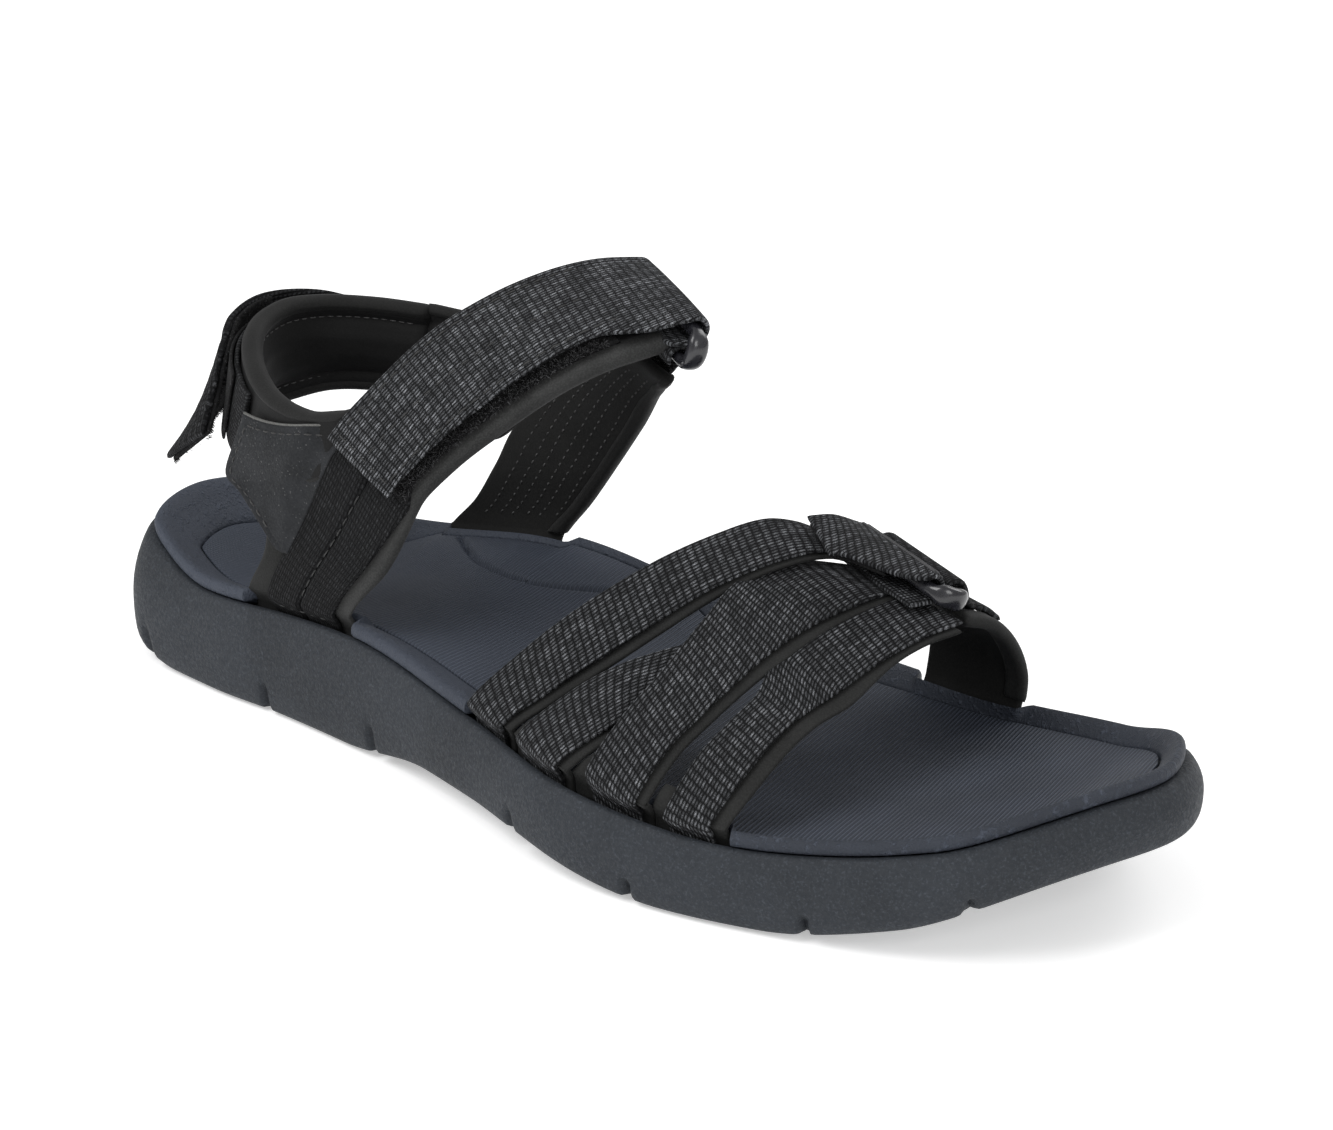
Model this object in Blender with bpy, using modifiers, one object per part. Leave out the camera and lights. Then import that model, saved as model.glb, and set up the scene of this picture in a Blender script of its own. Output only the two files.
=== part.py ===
"""Strappy sport sandal, right foot, with hook-and-loop straps on plastic rings.

The script builds the sandal as separate pieces. +X points to the toe, +Y to the
medial (big-toe) side and +Z up. The origin is under the middle of the sandal,
on the ground.

Lengths in the tables below are millimetres in the "last" frame, where x = 0 is
the back of the heel rim and z = 0 is the ground. `place` moves them to metres.
"""
import math

import bmesh
import bpy
from mathutils import Matrix, Vector

# ------------------------------------------------------------ driving sizes
MM = 0.001
RIM_LENGTH = 260.0          # heel rim to toe rim
CENTRE_X = 128.9            # middle of the whole sandal in the last frame
CENTRE_Y = -2.6
GAP = 0.3                   # left between pieces that touch

WEBBING = 1.3               # woven strap thickness
LINING = 0.9                # synthetic backing under each strap
HOOK = 0.8                  # hook tape and loop tape thickness
PAD = 3.4                   # foam-backed lining thickness
ROD_RADIUS = 1.65           # ring bar radius
WRAP_RADIUS = 3.6           # outer face of the webbing folded over a ring bar
KEEPER_RADIUS = 3.3         # outer face of the keeper webbing round its bar

LIP = 5.0                   # height of the footbed edge above the midsole edge
SLOT_DROP = 5.4             # depth of the lasting slot below the midsole edge
NOTCH = 4.8                 # how far the footbed edge steps in behind straps
POD = 3.6                   # outsole thickness
SHEET = 1.0                 # footbed cover thickness

# Rim outline: x as a share of the length, lateral y, medial y.
OUTLINE = [
    (0.00, -7.0, 0.9), (0.02, -20.7, 14.2), (0.06, -25.9, 23.4),
    (0.13, -29.1, 30.0), (0.22, -29.6, 31.8), (0.35, -33.2, 32.1),
    (0.48, -41.0, 36.7), (0.60, -50.0, 41.2), (0.70, -48.9, 44.8),
    (0.80, -42.5, 44.0), (0.88, -35.0, 40.3), (0.94, -23.4, 34.7),
    (0.98, -7.8, 25.3), (1.00, 10.4, 10.4),
]
RIM_HEIGHT = [(0, 36.6), (0.12, 27), (0.3, 29), (0.45, 25.4), (0.6, 22.8),
              (0.75, 19.9), (0.9, 25.1), (1, 33.0)]
GROUND_HEIGHT = [(-0.02, 8), (0.03, 1.5), (0.07, 0), (0.3, 0), (0.42, 4.0),
                 (0.55, 3.8), (0.7, 0), (0.78, 0.2), (0.88, 5.4), (1.0, 17.6)]
DISH_DEPTH = [(0, 6.0), (0.3, 4.5), (0.5, 3.2), (1, 3.4)]
ARCH_RISE, ARCH_X, ARCH_SPREAD = 6.6, 0.38, 0.13

# Where straps enter the sole: side (-1 lateral, +1 medial), first x, last x.
STRAP_WINDOWS = [(-1, 42.5, 81.0), (-1, 121.5, 196.5), (1, 52.5, 91.0),
                 (1, 179.0, 208.0)]
POD_ENDS = [-2.0, 11.1, 51.6, 88.8, 141.9, 174.9, 211.9, 239.8, 262.0]
POD_NAMES = ["heel_bevel", "heel", "heel_front", "arch", "waist", "ball",
             "forefoot", "toe"]

# ------------------------------------------------------------- colours
COLOURS = {
    "webbing": ((0.012, 0.012, 0.013), 0.8),
    "lining": ((0.035, 0.034, 0.033), 0.85),
    "pile": ((0.010, 0.010, 0.011), 0.95),
    "overlay": ((0.04, 0.04, 0.043), 0.6),
    "ring": ((0.008, 0.008, 0.009), 0.2),
    "footbed": ((0.026, 0.031, 0.043), 0.6),
    "midsole": ((0.03, 0.035, 0.044), 0.65),
    "outsole": ((0.02, 0.023, 0.028), 0.7),
}


def material(name, colour):
    """One Principled material for one piece."""
    base, rough = COLOURS[colour]
    mat = bpy.data.materials.new(name)
    mat.use_nodes = True
    shader = mat.node_tree.nodes["Principled BSDF"]
    shader.inputs["Base Color"].default_value = (*base, 1)
    shader.inputs["Roughness"].default_value = rough
    shader.inputs["Metallic"].default_value = 0.0
    return mat


def clear_scene():
    for obj in list(bpy.data.objects):
        bpy.data.objects.remove(obj, do_unlink=True)


def place(p):
    """Last-frame millimetres to the part's own metres."""
    return Vector(((p[0] - CENTRE_X) * MM, (p[1] - CENTRE_Y) * MM, p[2] * MM))


def lerp(a, b, t):
    return a + (b - a) * t


def smooth(t):
    t = min(max(t, 0.0), 1.0)
    return t * t * (3 - 2 * t)


def table(rows, x, column=1):
    """Smooth value of a table at x, with monotone cubic steps."""
    if x <= rows[0][0]:
        return rows[0][column]
    for i in range(len(rows) - 1):
        if x <= rows[i + 1][0]:
            break
    x0, x1 = rows[i][0], rows[i + 1][0]
    y0, y1 = rows[i][column], rows[i + 1][column]

    def rise(j):
        return (rows[j + 1][column] - rows[j][column]) / (rows[j + 1][0] - rows[j][0])

    def slope(j):
        if j == 0 or j == len(rows) - 1:
            return 0.0 if j else rise(0)
        before, after = rise(j - 1), rise(j)
        return 0.0 if before * after <= 0 else 2 * before * after / (before + after)

    t = min((x - x0) / (x1 - x0), 1.0)
    width = x1 - x0
    a, b = slope(i) * width, slope(i + 1) * width
    return (y0 * (1 + 2 * t) * (1 - t) ** 2 + a * t * (1 - t) ** 2
            + y1 * t * t * (3 - 2 * t) - b * t * t * (1 - t))


# ------------------------------------------------------------ smooth curves
class Edge:
    """A smooth curve through a few points, read by its share of the length."""

    def __init__(self, points):
        self.points = [Vector(p) for p in points]
        self.at = [0.0]
        for a, b in zip(self.points, self.points[1:]):
            self.at.append(self.at[-1] + (b - a).length)
        self.at = [s / self.at[-1] for s in self.at]

    def tangent(self, i):
        p, s = self.points, self.at
        lo, hi = max(i - 1, 0), min(i + 1, len(p) - 1)
        return (p[hi] - p[lo]) / (s[hi] - s[lo])

    def __call__(self, u):
        i = 0
        while i < len(self.at) - 2 and u > self.at[i + 1]:
            i += 1
        width = self.at[i + 1] - self.at[i]
        t = (u - self.at[i]) / width
        if t < 0:
            return self.points[0] + self.tangent(0) * (u - self.at[0])
        if t > 1:
            return self.points[-1] + self.tangent(len(self.at) - 1) * (u - 1)
        a, b = self.tangent(i) * width, self.tangent(i + 1) * width
        return (self.points[i] * ((1 + 2 * t) * (1 - t) ** 2) + a * (t * (1 - t) ** 2)
                + self.points[i + 1] * (t * t * (3 - 2 * t)) - b * (t * t * (1 - t)))


class Band:
    """A strap's outer face between two edges. facing flips its outward side."""

    def __init__(self, rear, front, facing=1):
        self.rear, self.front, self.facing = Edge(rear), Edge(front), facing

    def flat(self, u, v):
        return self.rear(u).lerp(self.front(u), v)

    def point(self, u, v, lift=0.0):
        step = 0.004
        along = self.flat(u + step, v) - self.flat(u - step, v)
        across = self.flat(u, v + 0.05) - self.flat(u, v - 0.05)
        normal = across.cross(along).normalized() * self.facing
        return self.flat(u, v) + normal * lift


# ------------------------------------------------------------- mesh helpers
def new_object(name, colour, vertices, faces):
    mesh = bpy.data.meshes.new(name)
    mesh.from_pydata([place(v) for v in vertices], [], faces)
    mesh.materials.append(material(name, colour))
    mesh.shade_smooth()
    mesh.set_sharp_from_angle(angle=math.radians(40))
    obj = bpy.data.objects.new(name, mesh)
    COLLECTION.objects.link(obj)
    return obj


def grid_faces(rows, columns, flip=False):
    faces = []
    for i in range(rows - 1):
        for j in range(columns - 1):
            a = i * columns + j
            quad = [a, a + 1, a + columns + 1, a + columns]
            faces.append(quad[::-1] if flip else quad)
    return faces


def sheet(name, colour, band, u, v, thickness, lift=0.0, cells=(14, 3), taper=None):
    """A layer of a band: an open surface with Solidify towards the foot.

    u and v are ranges, or functions of the row that give a range. lift is
    the layer's outer face above the band, a number or a function of u.
    taper gives the share of the thickness at u.
    """
    rows, columns = cells[0] + 1, cells[1] + 1
    points, shares = [], []
    for i in range(rows):
        along = lerp(u[0], u[1], i / (rows - 1))
        low, high = v(along) if callable(v) else v
        height = lift(along) if callable(lift) else lift
        for j in range(columns):
            across = lerp(low, high, j / (columns - 1))
            points.append(band.point(along, across, height))
            shares.append(taper(along) if taper else 1.0)
    obj = new_object(name, colour, points, grid_faces(rows, columns, band.facing < 0))
    solid = obj.modifiers.new("thickness", "SOLIDIFY")
    solid.thickness = thickness * MM
    solid.offset = -1.0
    solid.use_quality_normals = True
    if taper:
        group = obj.vertex_groups.new(name="taper")
        for index, share in enumerate(shares):
            group.add([index], share, "REPLACE")
        solid.vertex_group = "taper"
    return obj


def split_quad(vertices, quad):
    """Two triangles across the diagonal that is shorter in plan, so layers match."""
    if len(quad) < 4:
        return [quad]
    a, b, c, d = (vertices[k] for k in quad)
    if math.dist(a[:2], c[:2]) <= math.dist(b[:2], d[:2]) + 0.01:
        return [[quad[0], quad[1], quad[2]], [quad[0], quad[2], quad[3]]]
    return [[quad[0], quad[1], quad[3]], [quad[1], quad[2], quad[3]]]


def skin_rings(name, colour, rings):
    """A closed solid through rings of equal count, zipped shut at both ends."""
    count = len(rings[0])
    vertices = [p for ring in rings for p in ring]
    faces = []
    for k in range(len(rings) - 1):
        for i in range(count):
            j = (i + 1) % count
            a, b = k * count, (k + 1) * count
            faces += split_quad(vertices, [a + i, b + i, b + j, a + j])
    for base, flip in ((0, False), ((len(rings) - 1) * count, True)):
        for i in range(count // 2):
            far = count - i
            ids = [base + k % count for k in (i, i + 1, far - 1, far)]
            ids = list(dict.fromkeys(ids))
            faces += split_quad(vertices, ids[::-1] if flip else ids)
    obj = new_object(name, colour, vertices, faces)
    mend = bmesh.new()
    mend.from_mesh(obj.data)
    bmesh.ops.recalc_face_normals(mend, faces=mend.faces)
    if mend.calc_volume(signed=True) < 0:
        bmesh.ops.reverse_faces(mend, faces=mend.faces)
    mend.to_mesh(obj.data)
    mend.free()
    return obj


# ------------------------------------------------------------------- sole
RAMP = 1.6                                  # length of a strap window's sloping end


def stations():
    """Shares of the length from heel tip to toe tip, with one at each window's edge."""
    even = [0.5 * (1 - math.cos(math.pi * k / 30)) for k in range(31)]
    edges = [(x + shift) / RIM_LENGTH for _, first, last in STRAP_WINDOWS
             for x, shift in ((first, 0), (first, -RAMP), (last, 0), (last, RAMP))]
    kept = []
    for share in sorted(edges):
        if not kept or share - kept[-1] > 0.003:
            kept.append(share)
    return sorted(kept + [e for e in even if all(abs(e - k) > 0.006 for k in kept)])


STATIONS = stations()
HALF = len(STATIONS) - 1


def rim_point(i):
    """Station i round the rim, down the lateral side and back up the medial."""
    i %= 2 * HALF
    lateral = i <= HALF
    k = i if lateral else 2 * HALF - i
    share = STATIONS[k]
    low, high = table(OUTLINE, share, 1), table(OUTLINE, share, 2)
    if k == 0:
        low = high = 0.5 * (low + high)
    return share, (low if lateral else high), -1 if lateral else 1


def rim_height(share, side):
    z = table(RIM_HEIGHT, share)
    rise = ARCH_RISE * math.exp(-((share - ARCH_X) / ARCH_SPREAD) ** 2)
    return z + rise * 0.5 * (1 + side)


def inward(i):
    """Unit vector from rim station i towards the inside of the outline."""
    a, b = rim_point(i - 1), rim_point(i + 1)
    dx, dy = (b[0] - a[0]) * RIM_LENGTH, b[1] - a[1]
    size = math.hypot(dx, dy)
    return -dy / size, dx / size


def window(share, side):
    """1 where a strap enters the sole, 0 elsewhere, with short ramps."""
    x = share * RIM_LENGTH
    best = 0.0
    for which, first, last in STRAP_WINDOWS:
        if which * side > 0:
            opening = smooth((x - first + RAMP) / RAMP)
            best = max(best, opening * smooth((last + RAMP - x) / RAMP))
    return best


def ring(depth, height, pull=0.0, drop=0.0):
    """Ring of points `depth` mm inside the rim, then pulled towards the middle line.

    height(share, side) is read where each point ends up: side runs from -1 on
    the lateral rim to 1 on the medial rim.
    """
    points = []
    for i in range(2 * HALF):
        share, y, side = rim_point(i)
        nx, ny = inward(i)
        d = depth(share, side) if callable(depth) else depth
        amount = pull(share) if callable(pull) else pull
        x, y = share * RIM_LENGTH + nx * d, y + ny * d
        spine = min(max(x / RIM_LENGTH, 0.14), 0.86)
        x = lerp(x, spine * RIM_LENGTH, amount)
        y = lerp(y, sum(width_at(spine)) / 2, amount)
        here = lerp(share, min(max(x / RIM_LENGTH, 0.0), 1.0), smooth(d / 6))
        low, high = width_at(here)
        offset = abs(2 * y - low - high) / max(high - low, 1.0)
        points.append((x, y, height(here, side * min(max(offset, 0.01), 1.0)) - drop))
    return points


def width_at(share):
    return table(OUTLINE, share, 1), table(OUTLINE, share, 2)


def dish(share):
    return table(DISH_DEPTH, share)


def seam(share, side):
    return rim_height(share, side) - LIP


def footbed_top(share, side, drop):
    return rim_height(share, side) - dish(share) * drop


INNER, CENTRE, SPINE = (9.0, 0.15), (9.0, 0.45), (9.0, 0.88)    # (depth, pull) of inside rings


def groove_pull(share):
    """The cover's edge groove lies deeper inside at the heel."""
    return 0.26 * (1 - smooth((share - 0.12) / 0.2))


def inside(where, height, drop=0.0):
    return ring(where[0], height, where[1], drop)


def build_footbed():
    notch = lambda s, side: NOTCH * window(s, side)
    bed = lambda s, side: footbed_top(s, side, 1.0)
    edge = lambda s, side: footbed_top(s, side, 0.86)
    under = lambda s, side: bed(s, side) - 6.0
    rings = [
        inside(SPINE, bed, SHEET + GAP + 0.6),
        inside(CENTRE, bed, SHEET + GAP),
        ring(8.0, edge, groove_pull, SHEET + GAP),
        ring(7.6, edge, groove_pull),
        ring(lambda s, d: 5.2 + notch(s, d) * 0.3, lambda s, d: footbed_top(s, d, 0.42)),
        ring(lambda s, d: 2.0 + notch(s, d) * 0.8, lambda s, d: footbed_top(s, d, 0.04)),
        ring(lambda s, d: 0.5 + notch(s, d), rim_height, drop=0.9),
        ring(lambda s, d: 0.2 + notch(s, d), seam, drop=-1.6),
        ring(lambda s, d: 0.9 + notch(s, d), seam, drop=-GAP),
        inside(INNER, lambda s, d: min(seam(s, d) + 2 * GAP, under(s, d) + 2.6)),
        inside(CENTRE, under),
        inside(SPINE, under, 0.6),
    ]
    skin_rings("footbed", "footbed", rings)
    rings = [
        inside(SPINE, bed, 0.6),
        inside(CENTRE, bed),
        ring(8.4, edge, groove_pull),
        ring(8.4, edge, groove_pull, SHEET - 0.05),
        inside(CENTRE, bed, SHEET - 0.05),
        inside(SPINE, bed, SHEET + 0.55),
    ]
    skin_rings("footbed_cover", "footbed", rings)


def ground(share):
    return table(GROUND_HEIGHT, share)


def build_midsole():
    under = lambda s, side: footbed_top(s, side, 1.0) - 6.0 - 4 * GAP
    slot = lambda s, side: seam(s, side) - 3 * GAP - SLOT_DROP * window(s, side)
    bottom = lambda s, side: ground(s) + POD + 2 * GAP + 1.2 * smooth((s - 0.88) / 0.08)
    bulge = lambda size: (lambda s, d: -size * (
        1.0 + 1.5 * smooth((0.12 - s) / 0.12) + 0.6 * smooth((s - 0.8) / 0.2)))
    down = lambda part: (lambda s, d: lerp(seam(s, d), bottom(s, d), part))
    rings = [
        inside(SPINE, under, 0.6),
        inside(CENTRE, under),
        inside(INNER, lambda s, d: min(slot(s, d), under(s, d) + 1.5)),
        ring(1.5, slot),
        ring(1.2, seam),
        ring(-0.4, seam, drop=0.1),
        ring(bulge(1.3), down(0.12)),
        ring(bulge(2.3), down(0.38)),
        ring(bulge(2.4), down(0.68)),
        ring(bulge(2.1), down(0.93)),
        ring(bulge(1.2), bottom),
        inside(INNER, bottom),
        inside(SPINE, bottom),
    ]
    skin_rings("midsole", "midsole", rings)


def sole_width(x, inset):
    """Lateral and medial y of the tread outline at x, `inset` mm inside it."""
    share = min(max(x / RIM_LENGTH, 0.0), 1.0)
    low, high = table(OUTLINE, share, 1), table(OUTLINE, share, 2)
    return low - 1.6 + inset, high + 1.6 - inset


def build_outsole():
    """Rubber pods between the flex grooves, each with chamfered edges."""
    for k, name in enumerate(POD_NAMES):
        first, last = POD_ENDS[k] + 1.0, POD_ENDS[k + 1] - 1.0
        if k == 0:
            first = 3.6
        count = 4 + int((last - first) / 6)
        vertices = []
        for i in range(count):
            t = 0.5 * (1 - math.cos(math.pi * i / (count - 1)))
            x = lerp(first, last, t)
            low, high = sole_width(x, 0.0)
            base = ground(x / RIM_LENGTH)
            chamfer = 1.3
            across = [(low + chamfer, 0.0), (high - chamfer, 0.0), (high, chamfer),
                      (high - 0.3, POD), (low + 0.3, POD), (low, chamfer)]
            vertices += [(x, y, base + z) for y, z in across]
        faces = [list(range(5, -1, -1)), list(range(6 * count - 6, 6 * count))]
        for i in range(count - 1):
            for j in range(6):
                a, b = 6 * i + j, 6 * i + (j + 1) % 6
                faces.append([a, b, b + 6, a + 6])
        new_object("outsole_pod_" + name, "outsole", vertices, faces)


# ------------------------------------------------------------------- straps
def lasted(points):
    """Adds the tongue that tucks under the footbed before a strap's base."""
    x, y, _ = points[0]
    side = -1 if y < 0 else 1
    share = x / RIM_LENGTH
    edge = table(OUTLINE, share, 1 if side < 0 else 2)
    z = seam(share, side)
    tuck = [(x, edge - side * 9.0, z - SLOT_DROP + 0.7),
            (x, edge - side * 4.6, z - SLOT_DROP + 0.7),
            (x, edge - side * 2.5, z - SLOT_DROP + 2.4)]
    return tuck + [(x, edge - side * 2.0, z)] + points


FOREFOOT = {
    "rear": ([(123, -41, 25.6), (129, -32, 35), (136, -24, 43.2), (142, -16, 49.1),
              (148, -7, 54.3), (155, 2, 58.6), (161, 10, 61), (165.5, 15, 60.2), (169, 19.5, 57.6)],
             [(135, -44, 24.5), (141, -36, 31.1), (148, -27, 37.8), (154, -18, 43.8),
              (160, -9, 49.6), (167, 0, 54.2), (173, 8, 56.6), (177, 13, 57.0), (180.5, 16, 56.2)]),
    "second": ([(142, -47, 25.4), (148, -39, 33.4), (154, -30, 38.6), (161, -21, 41.6),
                (167, -14, 43.4)],
               [(155, -50, 23.3), (160, -43, 29.4), (164.5, -36.5, 32.6), (169, -29, 34.6),
                (174, -22, 36.6)]),
    "third": ([(163, -50, 24.5), (165, -41, 33.8), (167, -32, 39.6), (168, -24, 44.3),
               (168.5, -15, 48.4), (169.5, -6, 50.8), (171, 3, 51.7), (174, 11, 52.3),
               (178, 18, 52.6)],
              [(175.5, -50, 21.2), (177, -41, 30.5), (178.5, -32, 35.4), (180.5, -23, 40.3),
               (182.5, -14, 44.6), (184.5, -5, 47.4), (187.5, 4, 49.6), (191, 12, 51.2),
               (192.5, 14.5, 51.6)]),
    "front": ([(182, -49, 20.2), (183, -40, 30), (184, -31, 34.9), (185, -22, 38.9),
               (186, -14, 43), (187.5, -5, 46.2), (190, 4, 48.7), (193, 10.5, 50.4)],
              [(192, -47, 19.9), (194, -39, 28.4), (195, -30, 33.9), (196, -22, 37.2),
               (198, -14, 40.4), (200, -5, 43.6), (203, 3, 46.8), (206, 7, 49.2)]),
}


def build_forefoot_straps():
    for name, (rear, front) in FOREFOOT.items():
        band = Band(lasted(rear), lasted(front))
        sheet("forefoot_strap_" + name, "webbing", band, (0, 1), (0, 1), WEBBING, 0.0, (18, 2))
        width = (Vector(front[2]) - Vector(rear[2])).length
        edges = lambda u: (-0.3 / width, 1 + lerp(1.9, 0.2, smooth((u - 0.6) / 0.25)) / width)
        sheet("forefoot_strap_%s_lining" % name, "lining", band, (0, 0.985), edges, LINING,
              -WEBBING - 2.4 * GAP, (18, 2))


HEEL_OUT = WEBBING + GAP              # outer face of a webbing laid on a lining


GUSSETS = {                           # x and forward lean of the rear and front edges
    "rear": ((137.6, 2.0), (141.2, 1.1)),
    "middle": ((157.8, 1.9), (162.2, 0.4)),
    "front": ((178.2, 0.5), (181.1, 0.1)),
}


def gusset_edge(x, lean):
    share = x / RIM_LENGTH
    y, z = table(OUTLINE, share, 1), rim_height(share, -1)
    return lasted([(x, y + 1.2, z - 0.5), (x + lean, y + 2.6, z + 2.6),
                   (x + 2 * lean, y + 4.6, z + 4.6)])


def build_gussets():
    """Rounded ends of the lining that show between the straps at the sole."""
    for name, (rear, front) in GUSSETS.items():
        band = Band(gusset_edge(*rear), gusset_edge(*front))
        sheet("strap_gusset_" + name, "lining", band, (0, 1), (0, 1), LINING, -WEBBING - GAP, (12, 1))


# ---------------------------------------------------------------- rings
class Bars:
    """The two parallel bars of a ring. `out` points away from the strap."""

    def __init__(self, middle, axis, spacing, drop_deg, half):
        self.axis = Vector(axis).normalized()
        self.out = Vector((-self.axis.y, self.axis.x, 0)).normalized()
        self.up = self.axis.cross(self.out)
        self.strap = Vector(middle)
        angle = math.radians(drop_deg)
        self.across = self.out * math.cos(angle) - self.up * math.sin(angle)
        self.keeper = self.strap + self.across * spacing
        self.spacing, self.half = spacing, half

    def around(self, centre, along, radius, degrees):
        a = math.radians(degrees)
        spoke = self.out * math.cos(a) + self.up * math.sin(a)
        return centre + self.axis * along + spoke * radius


INSTEP_RING = Bars((127.2, 19.2, 99.6), (0.881, -0.43, -0.19), 7.4, 104, 15.2)
FOREFOOT_RING = Bars((188.0, 18.6, 54.9), (0.911, -0.412, -0.04), 7.2, 22, 15.6)


def build_ring(name, bars):
    """A stadium-shaped loop: two bars and two half-round ends."""
    points = []
    reach = bars.half + 1.2
    radius = bars.spacing / 2
    middle = (bars.strap + bars.keeper) / 2
    for sign in (1, -1):
        for k in range(7):
            a = math.radians(-90 + 30 * k)
            along = sign * (reach - radius * 0.55 + radius * math.cos(a))
            points.append(middle + bars.axis * along + bars.across * (radius * math.sin(a) * sign))
    curve = bpy.data.curves.new(name, "CURVE")
    curve.dimensions = "3D"
    curve.bevel_depth = ROD_RADIUS * MM
    curve.bevel_resolution = 2
    spline = curve.splines.new("POLY")
    spline.points.add(len(points) - 1)
    for slot, p in zip(spline.points, points):
        slot.co = (*place(p), 1)
    spline.use_cyclic_u = True
    curve.materials.append(material(name, "ring"))
    obj = bpy.data.objects.new(name, curve)
    COLLECTION.objects.link(obj)
    return obj


def folded(bars, rear, front, first=78, last=-50):
    """Edges that carry on from the band's ends round the strap bar."""
    steps = 6
    for k in range(steps):
        angle = lerp(first, last, k / (steps - 1))
        rear = rear + [bars.around(bars.strap, -bars.half, WRAP_RADIUS, angle)]
        front = front + [bars.around(bars.strap, bars.half, WRAP_RADIUS, angle)]
    return rear, front


def keeper_band(bars, panel, narrow=1.5):
    """Webbing round the keeper bar that runs down on the panel's outer face."""
    rear, front = [], []
    for angle in (150, 115, 75, 35):
        rear.append(bars.around(bars.keeper, -bars.half + narrow, KEEPER_RADIUS, angle))
        front.append(bars.around(bars.keeper, bars.half - narrow, KEEPER_RADIUS, angle))
    for along in (0.92, 0.84, 0.74):
        rear.append(panel.point(along, 0.12, HEEL_OUT + GAP))
        front.append(panel.point(along, 0.88, HEEL_OUT + GAP))
    return Band(rear, front)


# ------------------------------------------------------------- instep strap
INSTEP_REAR = [(52, -30, 28.7), (64, -31, 49), (76, -33, 71), (83, -22.5, 84.3),
               (89, -12.5, 93.6), (96, -2, 100.3), (103, 8, 104.6), (109, 17, 106.4)]
INSTEP_FRONT = [(74, -31, 29.3), (85, -32.5, 43.3), (97, -33, 59.5), (104, -26, 70.5),
                (112, -18, 79.7), (119, -10, 87.3), (126.5, -2, 93.3), (134, 6.5, 97.4)]
STRAP_STACK = 4.3                     # height of the closure strap above the base webbing


def build_instep_strap():
    bars = INSTEP_RING
    base = Band(lasted(INSTEP_REAR), lasted(INSTEP_FRONT))
    start = 0.385                     # the closure strap's free end, as a share of the base
    sink = lambda u: -STRAP_STACK * smooth((u - 0.2) / (start - 0.2))
    sheet("instep_base_webbing", "webbing", base, (0, 0.968), (0, 1), WEBBING, sink, (24, 3))
    sheet("instep_loop_tape", "pile", base, (start + 0.02, 0.965), (0.04, 1.03), HOOK,
          -WEBBING - HOOK - 3.4 * GAP, (14, 2))
    flap = Band(*folded(bars, INSTEP_REAR, INSTEP_FRONT))
    end = flap.rear.at[2]
    sheet("instep_closure_strap", "webbing", flap, (end, 1), (0, 1), WEBBING, 0.0, (26, 3))
    sheet("instep_hook_tape", "pile", flap, (end + 0.015, 0.8), (0.03, 0.97), HOOK,
          -WEBBING - GAP, (14, 2))

    pad_lift = lambda u: sink(u) - WEBBING - GAP
    side = lambda u: (lerp(0.55, -0.06, smooth((u - 0.37) / 0.12)), 1.23)
    taper = lambda u: lerp(0.28, 1.0, smooth((u - 0.12) / 0.15))
    sheet("instep_pad", "lining", base, (0, 0.955), side, PAD, pad_lift, (22, 3), taper)


# ------------------------------------------------------------ lateral side
def build_lateral_quarter():
    lining = Band(
        lasted([(44, -29.4, 27), (50.5, -30.8, 37), (51.5, -30.6, 45), (47, -29.2, 52)]),
        lasted([(58, -29.9, 28.5), (65, -29.2, 39), (70, -27.8, 48), (72, -26.6, 55)]))
    taper = lambda u: lerp(0.35, 1.0, smooth((u - 0.4) / 0.3))
    sheet("lateral_quarter_lining", "lining", lining, (0, 0.985), (0, 0.98), 2.4,
          -WEBBING - 2 * GAP, (14, 2), taper)
    overlay = Band(
        [(57.5, -31.4, 41), (46.8, -30.4, 50.6), (38.8, -27.8, 53.5), (41.8, -27.8, 61.5),
         (46.2, -28.3, 69.8)],
        [(58.5, -31.9, 40.5), (62, -32.4, 47), (66, -32.8, 54.5), (70, -33.1, 62),
         (76, -33.0, 74.3)])
    sheet("lateral_overlay", "overlay", overlay, (0.0, 1), (0, 0.95), LINING, 0.6, (12, 4))


# -------------------------------------------------------------------- heel
COLLAR_TOP = [(75.5, -29.4, 77.4), (66, -29.8, 75.5), (53, -27.8, 76), (41, -22.0, 78.5),
              (31, -13.5, 81.5), (25, -4, 83.5), (23.5, 6, 84.5), (27, 16, 84), (36, 25, 83),
              (47.5, 31, 82)]
COLLAR_LOW = [(66.5, -30.1, 57.8), (60, -29.9, 57.2), (52.5, -28.9, 55.8), (40, -24.4, 54.4),
              (30, -18.0, 55.5), (22.5, -9, 57.5), (19.5, 1, 59), (21.5, 10, 60),
              (26.5, 18, 60), (35, 25.5, 59), (45.5, 31, 57.5)]


def build_heel():
    collar = Band(COLLAR_LOW, COLLAR_TOP)
    sheet("heel_collar_pad", "lining", collar, (0.0, 0.99), (0, 1), 4.2, 0.0, (24, 3))
    sheet("heel_webbing", "webbing", collar, (0.27, 0.985), (0.02, 0.86), WEBBING, HEEL_OUT, (18, 2))
    sheet("heel_loop_tape", "pile", collar, (0.36, 0.6), (0.05, 0.84), HOOK,
          HEEL_OUT + GAP + HOOK, (10, 3))
    tab = Band(
        [(31, 26.5, 60), (20, 18, 60), (13.2, 6, 60), (11.5, -4, 59), (12.0, -11.5, 56.8),
         (12.0, -18, 53.8), (12.5, -23, 50.8)],
        [(34, 28.5, 80), (23.5, 18, 84), (18.2, 5, 85.2), (19.0, -6, 83), (24, -15, 77),
         (27.8, -22, 68.5), (29.5, -27, 60.8)], -1)
    sheet("heel_closure_tab", "webbing", tab, (0, 1), (0, 1), WEBBING, 0.0, (16, 3))
    sheet("heel_hook_tape", "pile", tab, (0.45, 0.99), (0.03, 0.97), HOOK, -WEBBING - GAP, (10, 3))


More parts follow.
